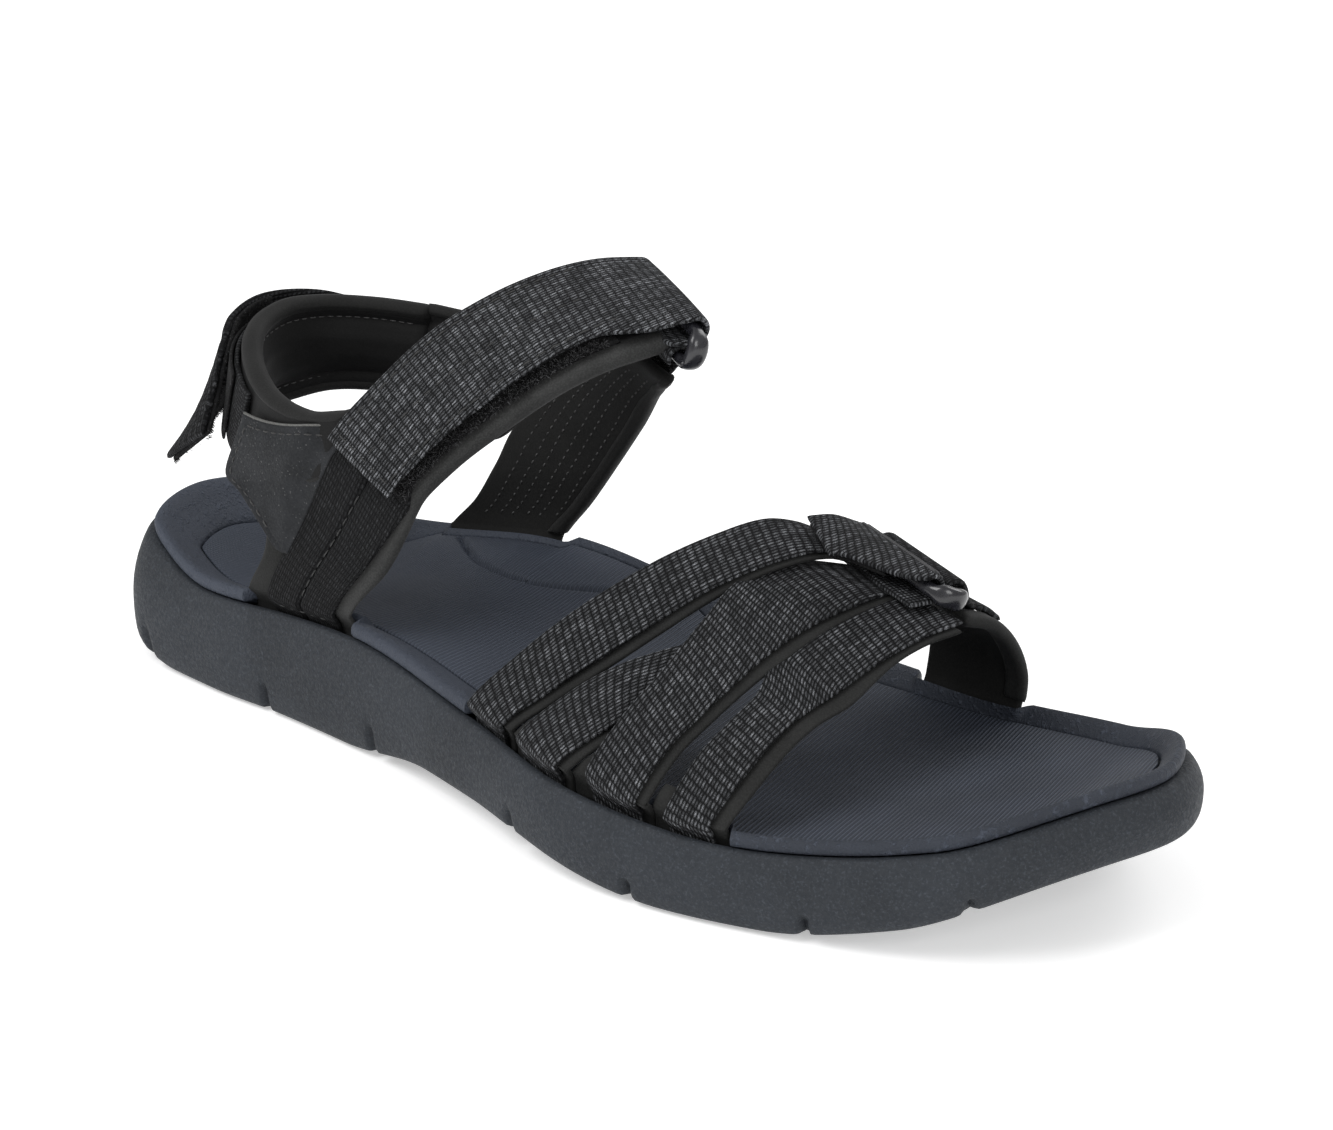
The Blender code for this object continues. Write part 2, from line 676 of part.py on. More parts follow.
# ------------------------------------------------------------- medial side
def build_medial_quarter():
    rear = [(54, 31.6, 29), (62, 32.5, 38), (68, 33.3, 47), (73, 34, 56), (85, 34.2, 69),
            (99, 31.8, 80), (109.5, 27.5, 87.5)]
    front = [(89, 32.0, 34.5), (96, 33, 44), (105, 32.5, 56.5), (113, 30.5, 67), (120.5, 26.5, 77),
             (126, 22, 83), (130.5, 17.5, 86)]
    band = Band(lasted(rear), lasted(front), -1)
    taper = lambda u: lerp(0.33, 1.0, smooth((u - 0.2) / 0.2))
    sheet("medial_quarter_lining", "lining", band, (0, 1), (0, 1), 2.8, -HEEL_OUT, (20, 3), taper)
    sheet("medial_quarter_webbing", "webbing", band, (0.0, 0.96), (0.12, 0.9), WEBBING,
          0.0, (20, 2))
    panel = Band(
        [(46.4, 31.2, 57.5), (55, 32.8, 54), (63, 33.6, 51.5), (70.5, 34.3, 55.5),
         (83.5, 34.5, 69.5), (96, 32.6, 80)],
        [(48.6, 31.2, 82), (58, 33, 81.4), (70, 33.6, 81.5), (84, 33.4, 83), (96, 31.5, 85.5),
         (106, 28.5, 88)])
    sheet("medial_collar_panel", "lining", panel, (0, 0.965), (0.0, 1), 2.8, 0.0, (12, 3))
    sheet("medial_heel_webbing", "webbing", panel, (0.0, 0.62), (0.18, 0.86), WEBBING,
          HEEL_OUT, (10, 3))

    bars = INSTEP_RING
    keeper = keeper_band(bars, band)
    sheet("instep_ring_keeper", "webbing", keeper, (0, 1), (0, 1), WEBBING, 0.0, (16, 2))


def build_forefoot_closure():
    bars = FOREFOOT_RING
    rear, front = folded(bars, [(170.0, 13.5, 63.9), (172.5, 19, 62.8)],
                         [(196, -3.0, 52.5), (199.5, 5, 56.0)])
    tab = Band(rear, front)
    sheet("forefoot_closure_tab", "webbing", tab, (0, 1), (0, 1), WEBBING, 0.0, (18, 2))
    sheet("forefoot_hook_tape", "pile", tab, (0.03, 0.36), (0.04, 0.96), HOOK,
          -WEBBING - GAP, (6, 3))
    anchor = Band(
        lasted([(181, 44.4, 20.5), (181, 45.6, 30), (180, 43.4, 38), (179, 38.5, 44),
                (178, 33, 47.5)]),
        lasted([(206, 43.6, 20.5), (206.5, 43.0, 28), (206, 38.8, 36), (205, 32.4, 42),
                (203, 23.8, 45.2)]), -1)
    sheet("forefoot_anchor_lining", "lining", anchor, (0, 1), (0, 1), 1.8, 0.0, (16, 3))
    keeper = keeper_band(bars, anchor)
    sheet("forefoot_ring_keeper", "webbing", keeper, (0, 1), (0, 1), WEBBING, 0.0, (16, 2))


COLLECTION = bpy.data.collections.new("strappy_sport_sandal")
HEEL_TAB_ROOT = (32.5, 27.5, 70.0)    # middle of the heel tab's sewn end
HINGES = {
    "instep_closure_strap": INSTEP_RING.strap, "instep_hook_tape": INSTEP_RING.strap,
    "forefoot_closure_tab": FOREFOOT_RING.strap, "forefoot_hook_tape": FOREFOOT_RING.strap,
    "instep_ring": INSTEP_RING.keeper, "forefoot_ring": FOREFOOT_RING.keeper,
    "heel_closure_tab": HEEL_TAB_ROOT, "heel_hook_tape": HEEL_TAB_ROOT,
}


def put_origin(name, point):
    """Moves an object's origin to a point on the axis it turns about."""
    obj, origin = bpy.data.objects[name], place(point)
    obj.data.transform(Matrix.Translation(-origin))
    obj.location = origin


def main():
    clear_scene()
    bpy.context.scene.collection.children.link(COLLECTION)
    build_outsole()
    build_midsole()
    build_footbed()
    build_forefoot_straps()
    build_gussets()
    build_ring("forefoot_ring", FOREFOOT_RING)
    build_forefoot_closure()
    build_instep_strap()
    build_ring("instep_ring", INSTEP_RING)
    build_lateral_quarter()
    build_heel()
    build_medial_quarter()
    for name, point in HINGES.items():
        put_origin(name, point)


main()
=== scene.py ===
"""Strappy sport sandal, right foot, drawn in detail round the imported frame.

Lengths are millimetres in the "last" frame, where x = 0 is the back of the heel
rim, y points to the medial side and z = 0 is the ground. `place` moves them to
the frame's metres.
"""
import math
import random
import bmesh
import bpy
import numpy as np
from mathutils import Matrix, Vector


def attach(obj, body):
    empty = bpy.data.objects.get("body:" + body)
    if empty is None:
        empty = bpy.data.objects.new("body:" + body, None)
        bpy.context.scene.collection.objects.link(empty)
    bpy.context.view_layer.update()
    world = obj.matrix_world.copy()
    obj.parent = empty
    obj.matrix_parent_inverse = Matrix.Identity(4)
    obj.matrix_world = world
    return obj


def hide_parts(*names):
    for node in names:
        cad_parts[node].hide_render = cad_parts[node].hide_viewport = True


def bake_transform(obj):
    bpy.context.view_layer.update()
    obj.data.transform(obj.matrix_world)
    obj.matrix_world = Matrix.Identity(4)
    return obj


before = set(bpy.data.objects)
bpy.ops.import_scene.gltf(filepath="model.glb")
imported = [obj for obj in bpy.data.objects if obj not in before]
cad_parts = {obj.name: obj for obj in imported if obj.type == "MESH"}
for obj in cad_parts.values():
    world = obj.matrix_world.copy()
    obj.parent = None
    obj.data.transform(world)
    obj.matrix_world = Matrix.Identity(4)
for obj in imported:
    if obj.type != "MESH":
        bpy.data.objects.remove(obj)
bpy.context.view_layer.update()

CENTRE = np.array((128.9, -2.6, 0.0))     # frame origin in the last frame
RIM_LENGTH = 260.0
WEBBING = 1.3                   # thicknesses
LINING = 0.9
HOOK = 0.8
GAP = 0.3
LIP = 3.5                       # height of the footbed's rim over the seam
SLOT_DROP = 5.4                 # how deep the sole is cut where a strap enters
NOTCH = 3.8                     # how far the footbed draws back there
POD = 3.6                       # tread pod thickness
SKIRT = 0.5                     # the wall's clearance over the ground
POD_BULGE = 0.2                 # how far the pods reach past the rim
POD_SETBACK = 0.8               # half the width of a flex groove
TREAD_PITCH = 6.5
ROOT = "sandal"

OUTLINE = [
    (0.00, -7.0, 0.9), (0.02, -20.7, 14.2), (0.06, -25.9, 23.4),
    (0.13, -29.1, 30.0), (0.22, -29.6, 31.8), (0.35, -33.2, 32.1),
    (0.48, -41.0, 36.7), (0.60, -50.0, 41.2), (0.70, -48.9, 44.8),
    (0.80, -42.5, 44.0), (0.88, -35.0, 40.3), (0.94, -23.4, 34.7),
    (0.98, -7.8, 25.3), (1.00, 10.4, 10.4),
]
RIM_HEIGHT = [(0, 36.6), (0.12, 27), (0.3, 29), (0.45, 25.4), (0.6, 22.8),
              (0.75, 19.9), (0.9, 25.1), (1, 33.0)]
GROUND_HEIGHT = [(-0.02, 8), (0.03, 1.5), (0.07, 0), (0.3, 0), (0.42, 4.0),
                 (0.55, 3.8), (0.7, 0), (0.78, 0.2), (0.88, 5.4), (1.0, 17.6)]
DISH_DEPTH = [(0, 6.0), (0.3, 4.5), (0.5, 3.2), (1, 3.4)]
ARCH_RISE, ARCH_X, ARCH_SPREAD = 6.6, 0.38, 0.13
STRAP_WINDOWS = [(-1, 44.8, 79.2), (-1, 122.6, 195.2), (1, 54.6, 91.2),
                 (1, 180.3, 207.2)]
POD_ENDS = [-2.0, 11.1, 51.6, 88.8, 141.9, 174.9, 211.9, 239.8, 262.0]
POD_NAMES = ["heel_bevel", "heel", "heel_front", "arch", "waist", "ball",
             "forefoot", "toe"]


# ------------------------------------------------------------------ numbers
def place(points):
    return (np.asarray(points, float) - CENTRE) * 0.001


def lerp(a, b, t):
    return a + (b - a) * t


def smooth(t):
    t = np.clip(t, 0.0, 1.0)
    return t * t * (3 - 2 * t)


def table(rows, x, column=1):
    """Smooth values of a table at x, with monotone cubic steps."""
    rows = np.array(rows, float)
    xs, ys = rows[:, 0], rows[:, column]
    rise = np.diff(ys) / np.diff(xs)
    slope = np.zeros(len(xs))
    same = rise[:-1] * rise[1:] > 0
    both = np.where(same, rise[:-1] + rise[1:], 1.0)
    slope[1:-1] = np.where(same, 2 * rise[:-1] * rise[1:] / both, 0.0)
    slope[0] = rise[0]
    x = np.asarray(x, float)
    i = np.clip(np.searchsorted(xs, x, side="right") - 1, 0, len(xs) - 2)
    width = xs[i + 1] - xs[i]
    t = np.clip((x - xs[i]) / width, 0.0, 1.0)
    a, b = slope[i] * width, slope[i + 1] * width
    return (ys[i] * (1 + 2 * t) * (1 - t) ** 2 + a * t * (1 - t) ** 2
            + ys[i + 1] * t * t * (3 - 2 * t) - b * t * t * (1 - t))


def unit(v):
    return v / np.maximum(np.linalg.norm(v, axis=-1, keepdims=True), 1e-9)


class Edge:
    """A smooth curve through a few points, read by its share of the length."""

    def __init__(self, points):
        p = self.p = np.array([tuple(q) for q in points], float)
        steps = np.linalg.norm(np.diff(p, axis=0), axis=1)
        s = np.concatenate([[0.0], np.cumsum(steps)])
        self.share_by(s / s[-1])

    def share_by(self, s):
        p, self.s = self.p, s
        n = np.arange(len(p))
        lo, hi = np.maximum(n - 1, 0), np.minimum(n + 1, len(p) - 1)
        self.tangent = (p[hi] - p[lo]) / (self.s[hi] - self.s[lo])[:, None]

    def __call__(self, u):
        u = np.atleast_1d(np.asarray(u, float))
        i = np.clip(np.searchsorted(self.s, u, side="right") - 1, 0, len(self.s) - 2)
        w = (self.s[i + 1] - self.s[i])[:, None]
        t = np.clip((u[:, None] - self.s[i][:, None]) / w, 0, 1)
        a, b = self.tangent[i] * w, self.tangent[i + 1] * w
        inside = (self.p[i] * ((1 + 2 * t) * (1 - t) ** 2) + a * (t * (1 - t) ** 2)
                  + self.p[i + 1] * (t * t * (3 - 2 * t)) - b * (t * t * (1 - t)))
        before, after = np.minimum(u, 0)[:, None], np.maximum(u - 1, 0)[:, None]
        return inside + self.tangent[0] * before + self.tangent[-1] * after


class Band:
    """A strap's outer face between two edges. facing flips its outward side."""

    def __init__(self, rear, front, facing=1):
        self.rear, self.front, self.facing = Edge(rear), Edge(front), facing
        if len(rear) == len(front):
            common = (self.rear.s + self.front.s) / 2
            self.rear.share_by(common)
            self.front.share_by(common)

    def surface(self, u, v):
        """Points and outward normals for u of shape (n,) and v of shape (n, m)."""
        step = 0.004
        r, f = self.rear(u), self.front(u)
        dr = self.rear(u + step) - self.rear(u - step)
        df = self.front(u + step) - self.front(u - step)
        v = v[..., None]
        along = dr[:, None] * (1 - v) + df[:, None] * v
        across = np.broadcast_to((f - r)[:, None], along.shape)
        points = r[:, None] * (1 - v) + f[:, None] * v
        return points, unit(np.cross(across, along)) * self.facing

    def point(self, u, v, lift=0.0):
        p, n = self.surface(np.array([float(u)]), np.array([[float(v)]]))
        return (p + n * lift)[0, 0]

    def arc(self):
        """Shares u and the distance in mm along the band's middle."""
        u = np.linspace(-0.02, 1.02, 400)
        p, _ = self.surface(u, np.full((len(u), 1), 0.5))
        steps = np.linalg.norm(np.diff(p[:, 0], axis=0), axis=1)
        d = np.concatenate([[0.0], np.cumsum(steps)])
        return u, d - np.interp(0.0, u, d)


# ------------------------------------------------------------------- meshes
def build(name, points, faces, material, body, replaces=(), uv=None, angle=50,
          blend=None):
    mesh = bpy.data.meshes.new(name)
    mesh.from_pydata([tuple(p) for p in place(points)], [], faces)
    shell = bmesh.new()
    shell.from_mesh(mesh)
    bmesh.ops.recalc_face_normals(shell, faces=shell.faces)
    shell.to_mesh(mesh)
    shell.free()
    mesh.materials.append(material)
    if uv is not None:
        layer = mesh.uv_layers.new(name="UVMap")
        ids = np.zeros(len(mesh.loops), np.int32)
        mesh.loops.foreach_get("vertex_index", ids)
        layer.data.foreach_set("uv", np.asarray(uv, np.float32)[ids].ravel())
    mesh.shade_smooth()
    mesh.set_sharp_from_angle(angle=math.radians(angle))
    mesh.validate()
    obj = bpy.data.objects.new(name, mesh)
    bpy.context.scene.collection.objects.link(obj)
    if blend:
        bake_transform(obj)
    else:
        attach(obj, body)
    if replaces:
        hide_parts(*replaces)
    return obj


def loft(rings, flip=False):
    """Faces between rings of equal count, as (ring, point) ids row by row."""
    rows, count = rings
    a = np.arange(rows - 1)[:, None] * count + np.arange(count)[None]
    b = np.arange(rows - 1)[:, None] * count + (np.arange(count)[None] + 1) % count
    quads = np.stack([a, b, b + count, a + count], -1).reshape(-1, 4)
    return (quads[:, ::-1] if flip else quads).tolist()


def capped(rows, count, first=0):
    """Faces of a sweep closed by one flat face at each end."""
    faces = loft((rows, count))
    faces += [list(range(count))[::-1], [(rows - 1) * count + k for k in range(count)]]
    return [[first + k for k in face] for face in faces]


def ease(distance, radius):
    """Share of the thickness left where a rounded end starts `distance` mm back."""
    t = np.clip(distance / radius, 0.0, 1.0)
    return np.sqrt(np.maximum(1 - (1 - t) ** 2, 0.03))


def rows_between(start, end, length, step, radius, ends):
    """Shares u between start and end, about `step` mm apart, closer at rounded ends."""
    span = abs(end - start) * length
    d = np.linspace(0, span, max(int(span / step), 4) + 1)
    near = np.array([0.04, 0.2, 0.5]) * radius
    extra = ([near] if ends[0] else []) + ([span - near] if ends[1] else [])
    d = np.unique(np.concatenate([d] + extra).round(4))
    return start + (end - start) * d / span, d, span


ARC = 5                         # points round a strap's edge
SLOTS = {kind: slot for slot, kinds in {
    "webbing": "webbing riser fold narrow heel keeper", "overlay": "overlay", "pile": "pile",
    "lining": "lining cushion inner collar binding"}.items() for kind in kinds.split()}


def strap(name, band, u, v, thick, kind, body=ROOT, lift=0.0, taper=None, profile=None, back=None,
          step=1.2, across=1.2, round_ends=(True, True), replaces=(), blend=None, shift=0.0):
    """A layer of a band as a closed solid with rounded edges.

    v gives the two sides as shares across, or a function of u that does.
    profile(d, w, u, v, width) lifts the outer face; back does the same for the
    inner face. d and w are millimetres along and across.
    """
    shares, dist = band.arc()
    length = np.interp(1.0, shares, dist) - np.interp(0.0, shares, dist)
    us, d, span = rows_between(u[0], u[1], length, step, thick / 2, round_ends)
    n = len(us)
    low, high = (np.broadcast_to(side, n) for side in (v(us) if callable(v) else v))
    size = thick * (taper(us) if taper else np.ones(n))
    cut = np.ones(n)
    if round_ends[0]:
        cut = np.minimum(cut, ease(d, thick / 2))
    if round_ends[1]:
        cut = np.minimum(cut, ease(span - d, thick / 2))
    whole = np.linalg.norm(band.front(us) - band.rear(us), axis=1)
    width = np.maximum(whole * (high - low), 0.5)
    half = np.minimum(size / 2, width / 2 - 0.05)
    columns = max(int(width.max() / across), 3)
    t = np.linspace(0, 1, columns + 1)[None]
    flat = half[:, None] + t * (width - 2 * half)[:, None]
    angles = np.radians(90 - 180 * (np.arange(ARC) + 1) / (ARC + 1))[None]
    right = (width - half)[:, None] + half[:, None] * np.cos(angles)
    left = half[:, None] - half[:, None] * np.cos(angles[:, ::-1])
    w = np.concatenate([flat, right, flat[:, ::-1], left], 1)
    top, bottom = np.ones((n, columns + 1)), -np.ones((n, columns + 1))
    rise = np.broadcast_to(np.sin(angles), (n, ARC))
    h = np.concatenate([top, rise, bottom, rise[:, ::-1]], 1)
    where = low[:, None] + w / width[:, None] * (high - low)[:, None]
    points, normals = band.surface(us, where)
    base = lift(us) if callable(lift) else np.full(n, lift)
    offset = base[:, None] + size[:, None] * 0.5 * (h * cut[:, None] - 1)
    share = w / width[:, None]
    for face, side in ((profile, 1), (back, -1)):
        if face:
            fade = np.clip((side * h + 0.2) / 1.2, 0, 1)
            offset = offset + face(d[:, None], w, us[:, None], share, width[:, None]) * fade
    points = points + normals * offset[..., None]
    count = w.shape[1]
    faces = loft((n, count), flip=band.facing > 0)
    opposite = lambda k: 2 * columns + 1 + ARC - k
    cap = [[k, k + 1, opposite(k + 1), opposite(k)] for k in range(columns)]
    cap.append(list(range(columns, columns + ARC + 2)))
    cap.append(list(range(opposite(0), opposite(0) + ARC + 1)) + [0])
    for base_id, flip in ((0, band.facing < 0), ((n - 1) * count, band.facing > 0)):
        faces += [[base_id + k for k in (f if flip else f[::-1])] for f in cap]
    along = np.broadcast_to((d + shift)[:, None], w.shape)
    uv = np.stack([along, w], -1).reshape(-1, 2)
    return build(name, points.reshape(-1, 3), faces, MAT[kind], body, replaces, uv,
                 blend=blend)


def face_path(band, u, v, lift, count=200):
    """Points and normals along a line on a band, from (u0, v0) to (u1, v1)."""
    us, vs = np.linspace(u[0], u[1], count), np.linspace(v[0], v[1], count)
    p, n = band.surface(us, vs[:, None])
    high = lift(us) if callable(lift) else np.full(count, lift)
    return p[:, 0] + n[:, 0] * high[:, None], n[:, 0]


def stitches(name, paths, material, body=ROOT, length=2.3, gap=1.1, radius=0.26):
    """Short thread loops along paths of (points, normals)."""
    points, faces = [], []
    sides, rows = 6, 6
    for path, normals in paths:
        steps = np.linalg.norm(np.diff(path, axis=0), axis=1)
        s = np.concatenate([[0.0], np.cumsum(steps)])
        count = int(s[-1] / (length + gap))
        start = 0.5 * (s[-1] - count * (length + gap) + gap)
        for k in range(count):
            begin = start + k * (length + gap)
            at = np.linspace(begin, begin + length, rows)
            centre = np.stack([np.interp(at, s, path[:, i]) for i in range(3)], 1)
            normal = unit(np.stack([np.interp(at, s, normals[:, i]) for i in range(3)], 1))
            t = np.linspace(0, 1, rows)
            centre = centre + normal * (radius * (0.8 * np.sin(np.pi * t) - 0.55))[:, None]
            tangent = unit(np.gradient(centre, axis=0))
            side = unit(np.cross(tangent, normal))
            up = np.cross(side, tangent)
            girth = radius * (0.45 + 0.55 * np.sin(np.pi * (0.12 + 0.76 * t)))
            faces += capped(rows, sides, len(points))
            for j in range(rows):
                for a in np.arange(sides) * 2 * math.pi / sides:
                    spoke = side[j] * math.cos(a) + up[j] * math.sin(a)
                    points.append(centre[j] + spoke * girth[j])
    build(name, np.array(points), faces, material, body, angle=70)


THIRD_TURN = 2.0944


def fibres(name, roots, normals, material, length, radius, lean, seed, body=ROOT):
    """Short bent fibres, as on hook and loop pile."""
    rng = random.Random(seed)
    points, faces = [], []
    for root, normal in zip(roots, normals):
        side = unit(np.cross(normal, [rng.uniform(-1, 1), rng.uniform(-1, 1), rng.uniform(-1, 1)]))
        other = np.cross(normal, side)
        tall = length * rng.uniform(0.5, 1.2)
        tilt = side * lean * rng.uniform(0.2, 1.0)
        faces += capped(3, 3, len(points))
        for height, thick in ((-0.2, 1.0), (0.55, 0.8), (1.0, 0.25)):
            centre = root + (normal * height + tilt * height * height) * tall
            for a in range(3):
                spoke = side * math.cos(a * THIRD_TURN) + other * math.sin(a * THIRD_TURN)
                points.append(centre + spoke * radius * thick)
    build(name, np.array(points), faces, material, body, angle=80)


# ---------------------------------------------------------------- materials
class Shader:
    """A Principled material and a short way to add nodes to it."""

    def __init__(self, name, roughness, **constants):
        self.material = bpy.data.materials.new(name)
        self.material.use_nodes = True
        self.nodes = self.material.node_tree.nodes
        self.links = self.material.node_tree.links
        self.shader = self.nodes["Principled BSDF"]
        self.shader.inputs["Roughness"].default_value = roughness
        for key, value in constants.items():
            self.shader.inputs[key.replace("_", " ")].default_value = value
        coordinates = self.nodes.new("ShaderNodeTexCoord")
        self.uv, self.object = coordinates.outputs["UV"], coordinates.outputs["Object"]

    def node(self, kind, inputs, out=0, **settings):
        node = self.nodes.new(kind)
        for key, value in settings.items():
            setattr(node, key, value)
        for key, value in inputs.items():
            if isinstance(value, bpy.types.NodeSocket):
                self.links.new(value, node.inputs[key])
            else:
                node.inputs[key].default_value = value
        return node.outputs[out]

    def math(self, operation, a, b=0.0, c=0.0, clamp=False):
        return self.node("ShaderNodeMath", {0: a, 1: b, 2: c}, operation=operation,
                         use_clamp=clamp)

    def times(self, a, b, clamp=False):
        return self.math("MULTIPLY", a, b, clamp=clamp)

    def scaled(self, a, b, c, clamp=False):
        """a times b, plus c."""
        return self.math("MULTIPLY_ADD", a, b, c, clamp)

    def combine(self, x, y):
        return self.node("ShaderNodeCombineXYZ", {0: x, 1: y, 2: 0.0})

    def split(self, vector):
        node = self.nodes.new("ShaderNodeSeparateXYZ")
        self.links.new(vector, node.inputs[0])
        return node.outputs[0], node.outputs[1], node.outputs[2]

    def noise(self, vector, scale, detail=3.0, rough=0.55):
        return self.node("ShaderNodeTexNoise", {"Vector": vector, "Scale": scale,
                                                "Detail": detail, "Roughness": rough})

    def random(self, vector):
        return self.node("ShaderNodeTexWhiteNoise", {"Vector": vector}, 0)

    def spread(self, value, low, high, out_low=0.0, out_high=1.0):
        return self.node("ShaderNodeMapRange", {0: value, 1: low, 2: high, 3: out_low,
                                                4: out_high}, interpolation_type="SMOOTHSTEP")

    def mix(self, factor, a, b):
        node = self.nodes.new("ShaderNodeMix")
        node.data_type = "RGBA"
        for index, value in ((0, factor), (6, a), (7, b)):
            if isinstance(value, bpy.types.NodeSocket):
                self.links.new(value, node.inputs[index])
            else:
                node.inputs[index].default_value = value if index == 0 else (*value, 1)
        return node.outputs[2]

    def colour(self, socket):
        self.links.new(socket, self.shader.inputs["Base Color"])

    def rough(self, socket):
        self.links.new(socket, self.shader.inputs["Roughness"])

    def bump(self, height, distance, strength=1.0):
        normal = self.node("ShaderNodeBump", {"Height": height, "Distance": distance,
                                              "Strength": strength})
        self.links.new(normal, self.shader.inputs["Normal"])


def shade(colour, factor):
    return tuple(c * factor for c in colour)


def webbing_material(name, pitch=1.78, column=0.74, skew=0.3, level=1.0, gap=1.05):
    """Coarse black webbing: rows of lengthwise yarn floats, each with some pale heather."""
    s = Shader(name, 0.8, Specular_IOR_Level=0.18)
    u, v, _ = s.split(s.uv)
    wander = s.noise(s.uv, 0.35, 2.0)
    across = s.math("DIVIDE", s.scaled(wander, 0.35, v), column)
    line = s.math("FLOOR", across)
    jitter = s.random(s.combine(line, 3.0))
    along = s.math("DIVIDE", s.scaled(v, skew, u), pitch)
    along = s.scaled(jitter, 0.14, along)
    row = s.math("FLOOR", along)
    fu, fv = s.math("FRACT", along), s.math("FRACT", across)
    hump_u = s.math("SINE", s.times(fu, math.pi))
    hump_v = s.math("SINE", s.times(fv, math.pi))
    yarn = s.times(s.math("POWER", hump_u, 0.55), s.math("POWER", hump_v, 0.8))
    pick = s.random(s.combine(row, line))
    slant = s.scaled(s.math("SUBTRACT", fu, 0.5), 0.3, s.math("SUBTRACT", fv, 0.5))
    streak = s.math("SUBTRACT", 1.0, s.times(s.times(slant, slant), 4.5),
                    clamp=True)
    patch = s.spread(s.noise(s.uv, 0.12, 4.0), 0.3, 0.72, 0.7, 1.2)
    hair = s.noise(s.combine(s.times(u, 3.6), s.times(v, 5.0)), 1.0, 3.0)
    strength = s.scaled(s.math("POWER", pick, 1.6), 0.56, 0.21)
    strength = s.times(strength, s.spread(hair, 0.38, 0.6, 0.1, 1.35))
    dash = s.times(s.math("POWER", hump_u, gap), s.math("POWER", hump_v, 0.75))
    strength = s.times(s.times(strength, streak), dash)
    strength = s.times(s.times(strength, patch), level, clamp=True)
    s.colour(s.mix(strength, (0.0028, 0.0029, 0.0034), (0.365, 0.377, 0.402)))
    fuzz = s.noise(s.uv, 7.0, 2.0)
    s.bump(s.scaled(fuzz, 0.25, yarn), 0.00045, 0.9)
    return s.material


def lining_material(name, colour):
    """Smooth synthetic lining with a fine matt grain."""
    s = Shader(name, 0.72, Specular_IOR_Level=0.2, Sheen_Weight=0.12, Sheen_Roughness=0.5,
               Sheen_Tint=(0.35, 0.35, 0.36, 1))
    fine = s.noise(s.object, 2600, 2.0)
    broad = s.noise(s.object, 90, 3.0)
    mottle = s.scaled(s.spread(fine, 0.35, 0.7), 0.5, 0.0)
    mottle = s.scaled(s.spread(broad, 0.3, 0.7), 0.35, mottle, clamp=True)
    s.colour(s.mix(mottle, shade(colour, 0.6), shade(colour, 1.45)))
    s.bump(s.scaled(broad, 0.4, fine), 0.00012, 0.6)
    return s.material


def pile_material(name):
    """Dark hook-and-loop pile: tangled loops that catch a little light."""
    s = Shader(name, 0.85, Specular_IOR_Level=0.3)
    tangle = s.noise(s.object, 1500, 4.0, 0.7)
    clump = s.noise(s.object, 420, 3.0)
    glint = s.spread(tangle, 0.56, 0.72)
    s.colour(s.mix(s.times(glint, 0.8), (0.0035, 0.0035, 0.004), (0.11, 0.11, 0.115)))
    s.bump(s.scaled(clump, 1.2, tangle), 0.0007, 1.0)
    return s.material


def overlay_material(name):
    """Microfibre with tiny light specks and a soft nap."""
    s = Shader(name, 0.6, Specular_IOR_Level=0.25)
    speck = s.node("ShaderNodeTexVoronoi", {"Vector": s.object, "Scale": 1700.0}, 0)
    pick = s.random(s.node("ShaderNodeTexVoronoi", {"Vector": s.object, "Scale": 1700.0}, 2))
    dot = s.times(s.spread(speck, 0.4, 0.1), s.spread(pick, 0.72, 1.0))
    nap = s.noise(s.object, 160, 4.0)
    base = s.mix(s.spread(nap, 0.3, 0.7), (0.0098, 0.0108, 0.0125), (0.017, 0.0183, 0.021))
    s.colour(s.mix(s.times(dot, 0.5), base, (0.17, 0.17, 0.17)))
    grain = s.noise(s.object, 1900, 3.0)
    s.bump(grain, 0.00016, 0.7)
    s.rough(s.spread(grain, 0.3, 0.7, 0.6, 0.8))
    return s.material


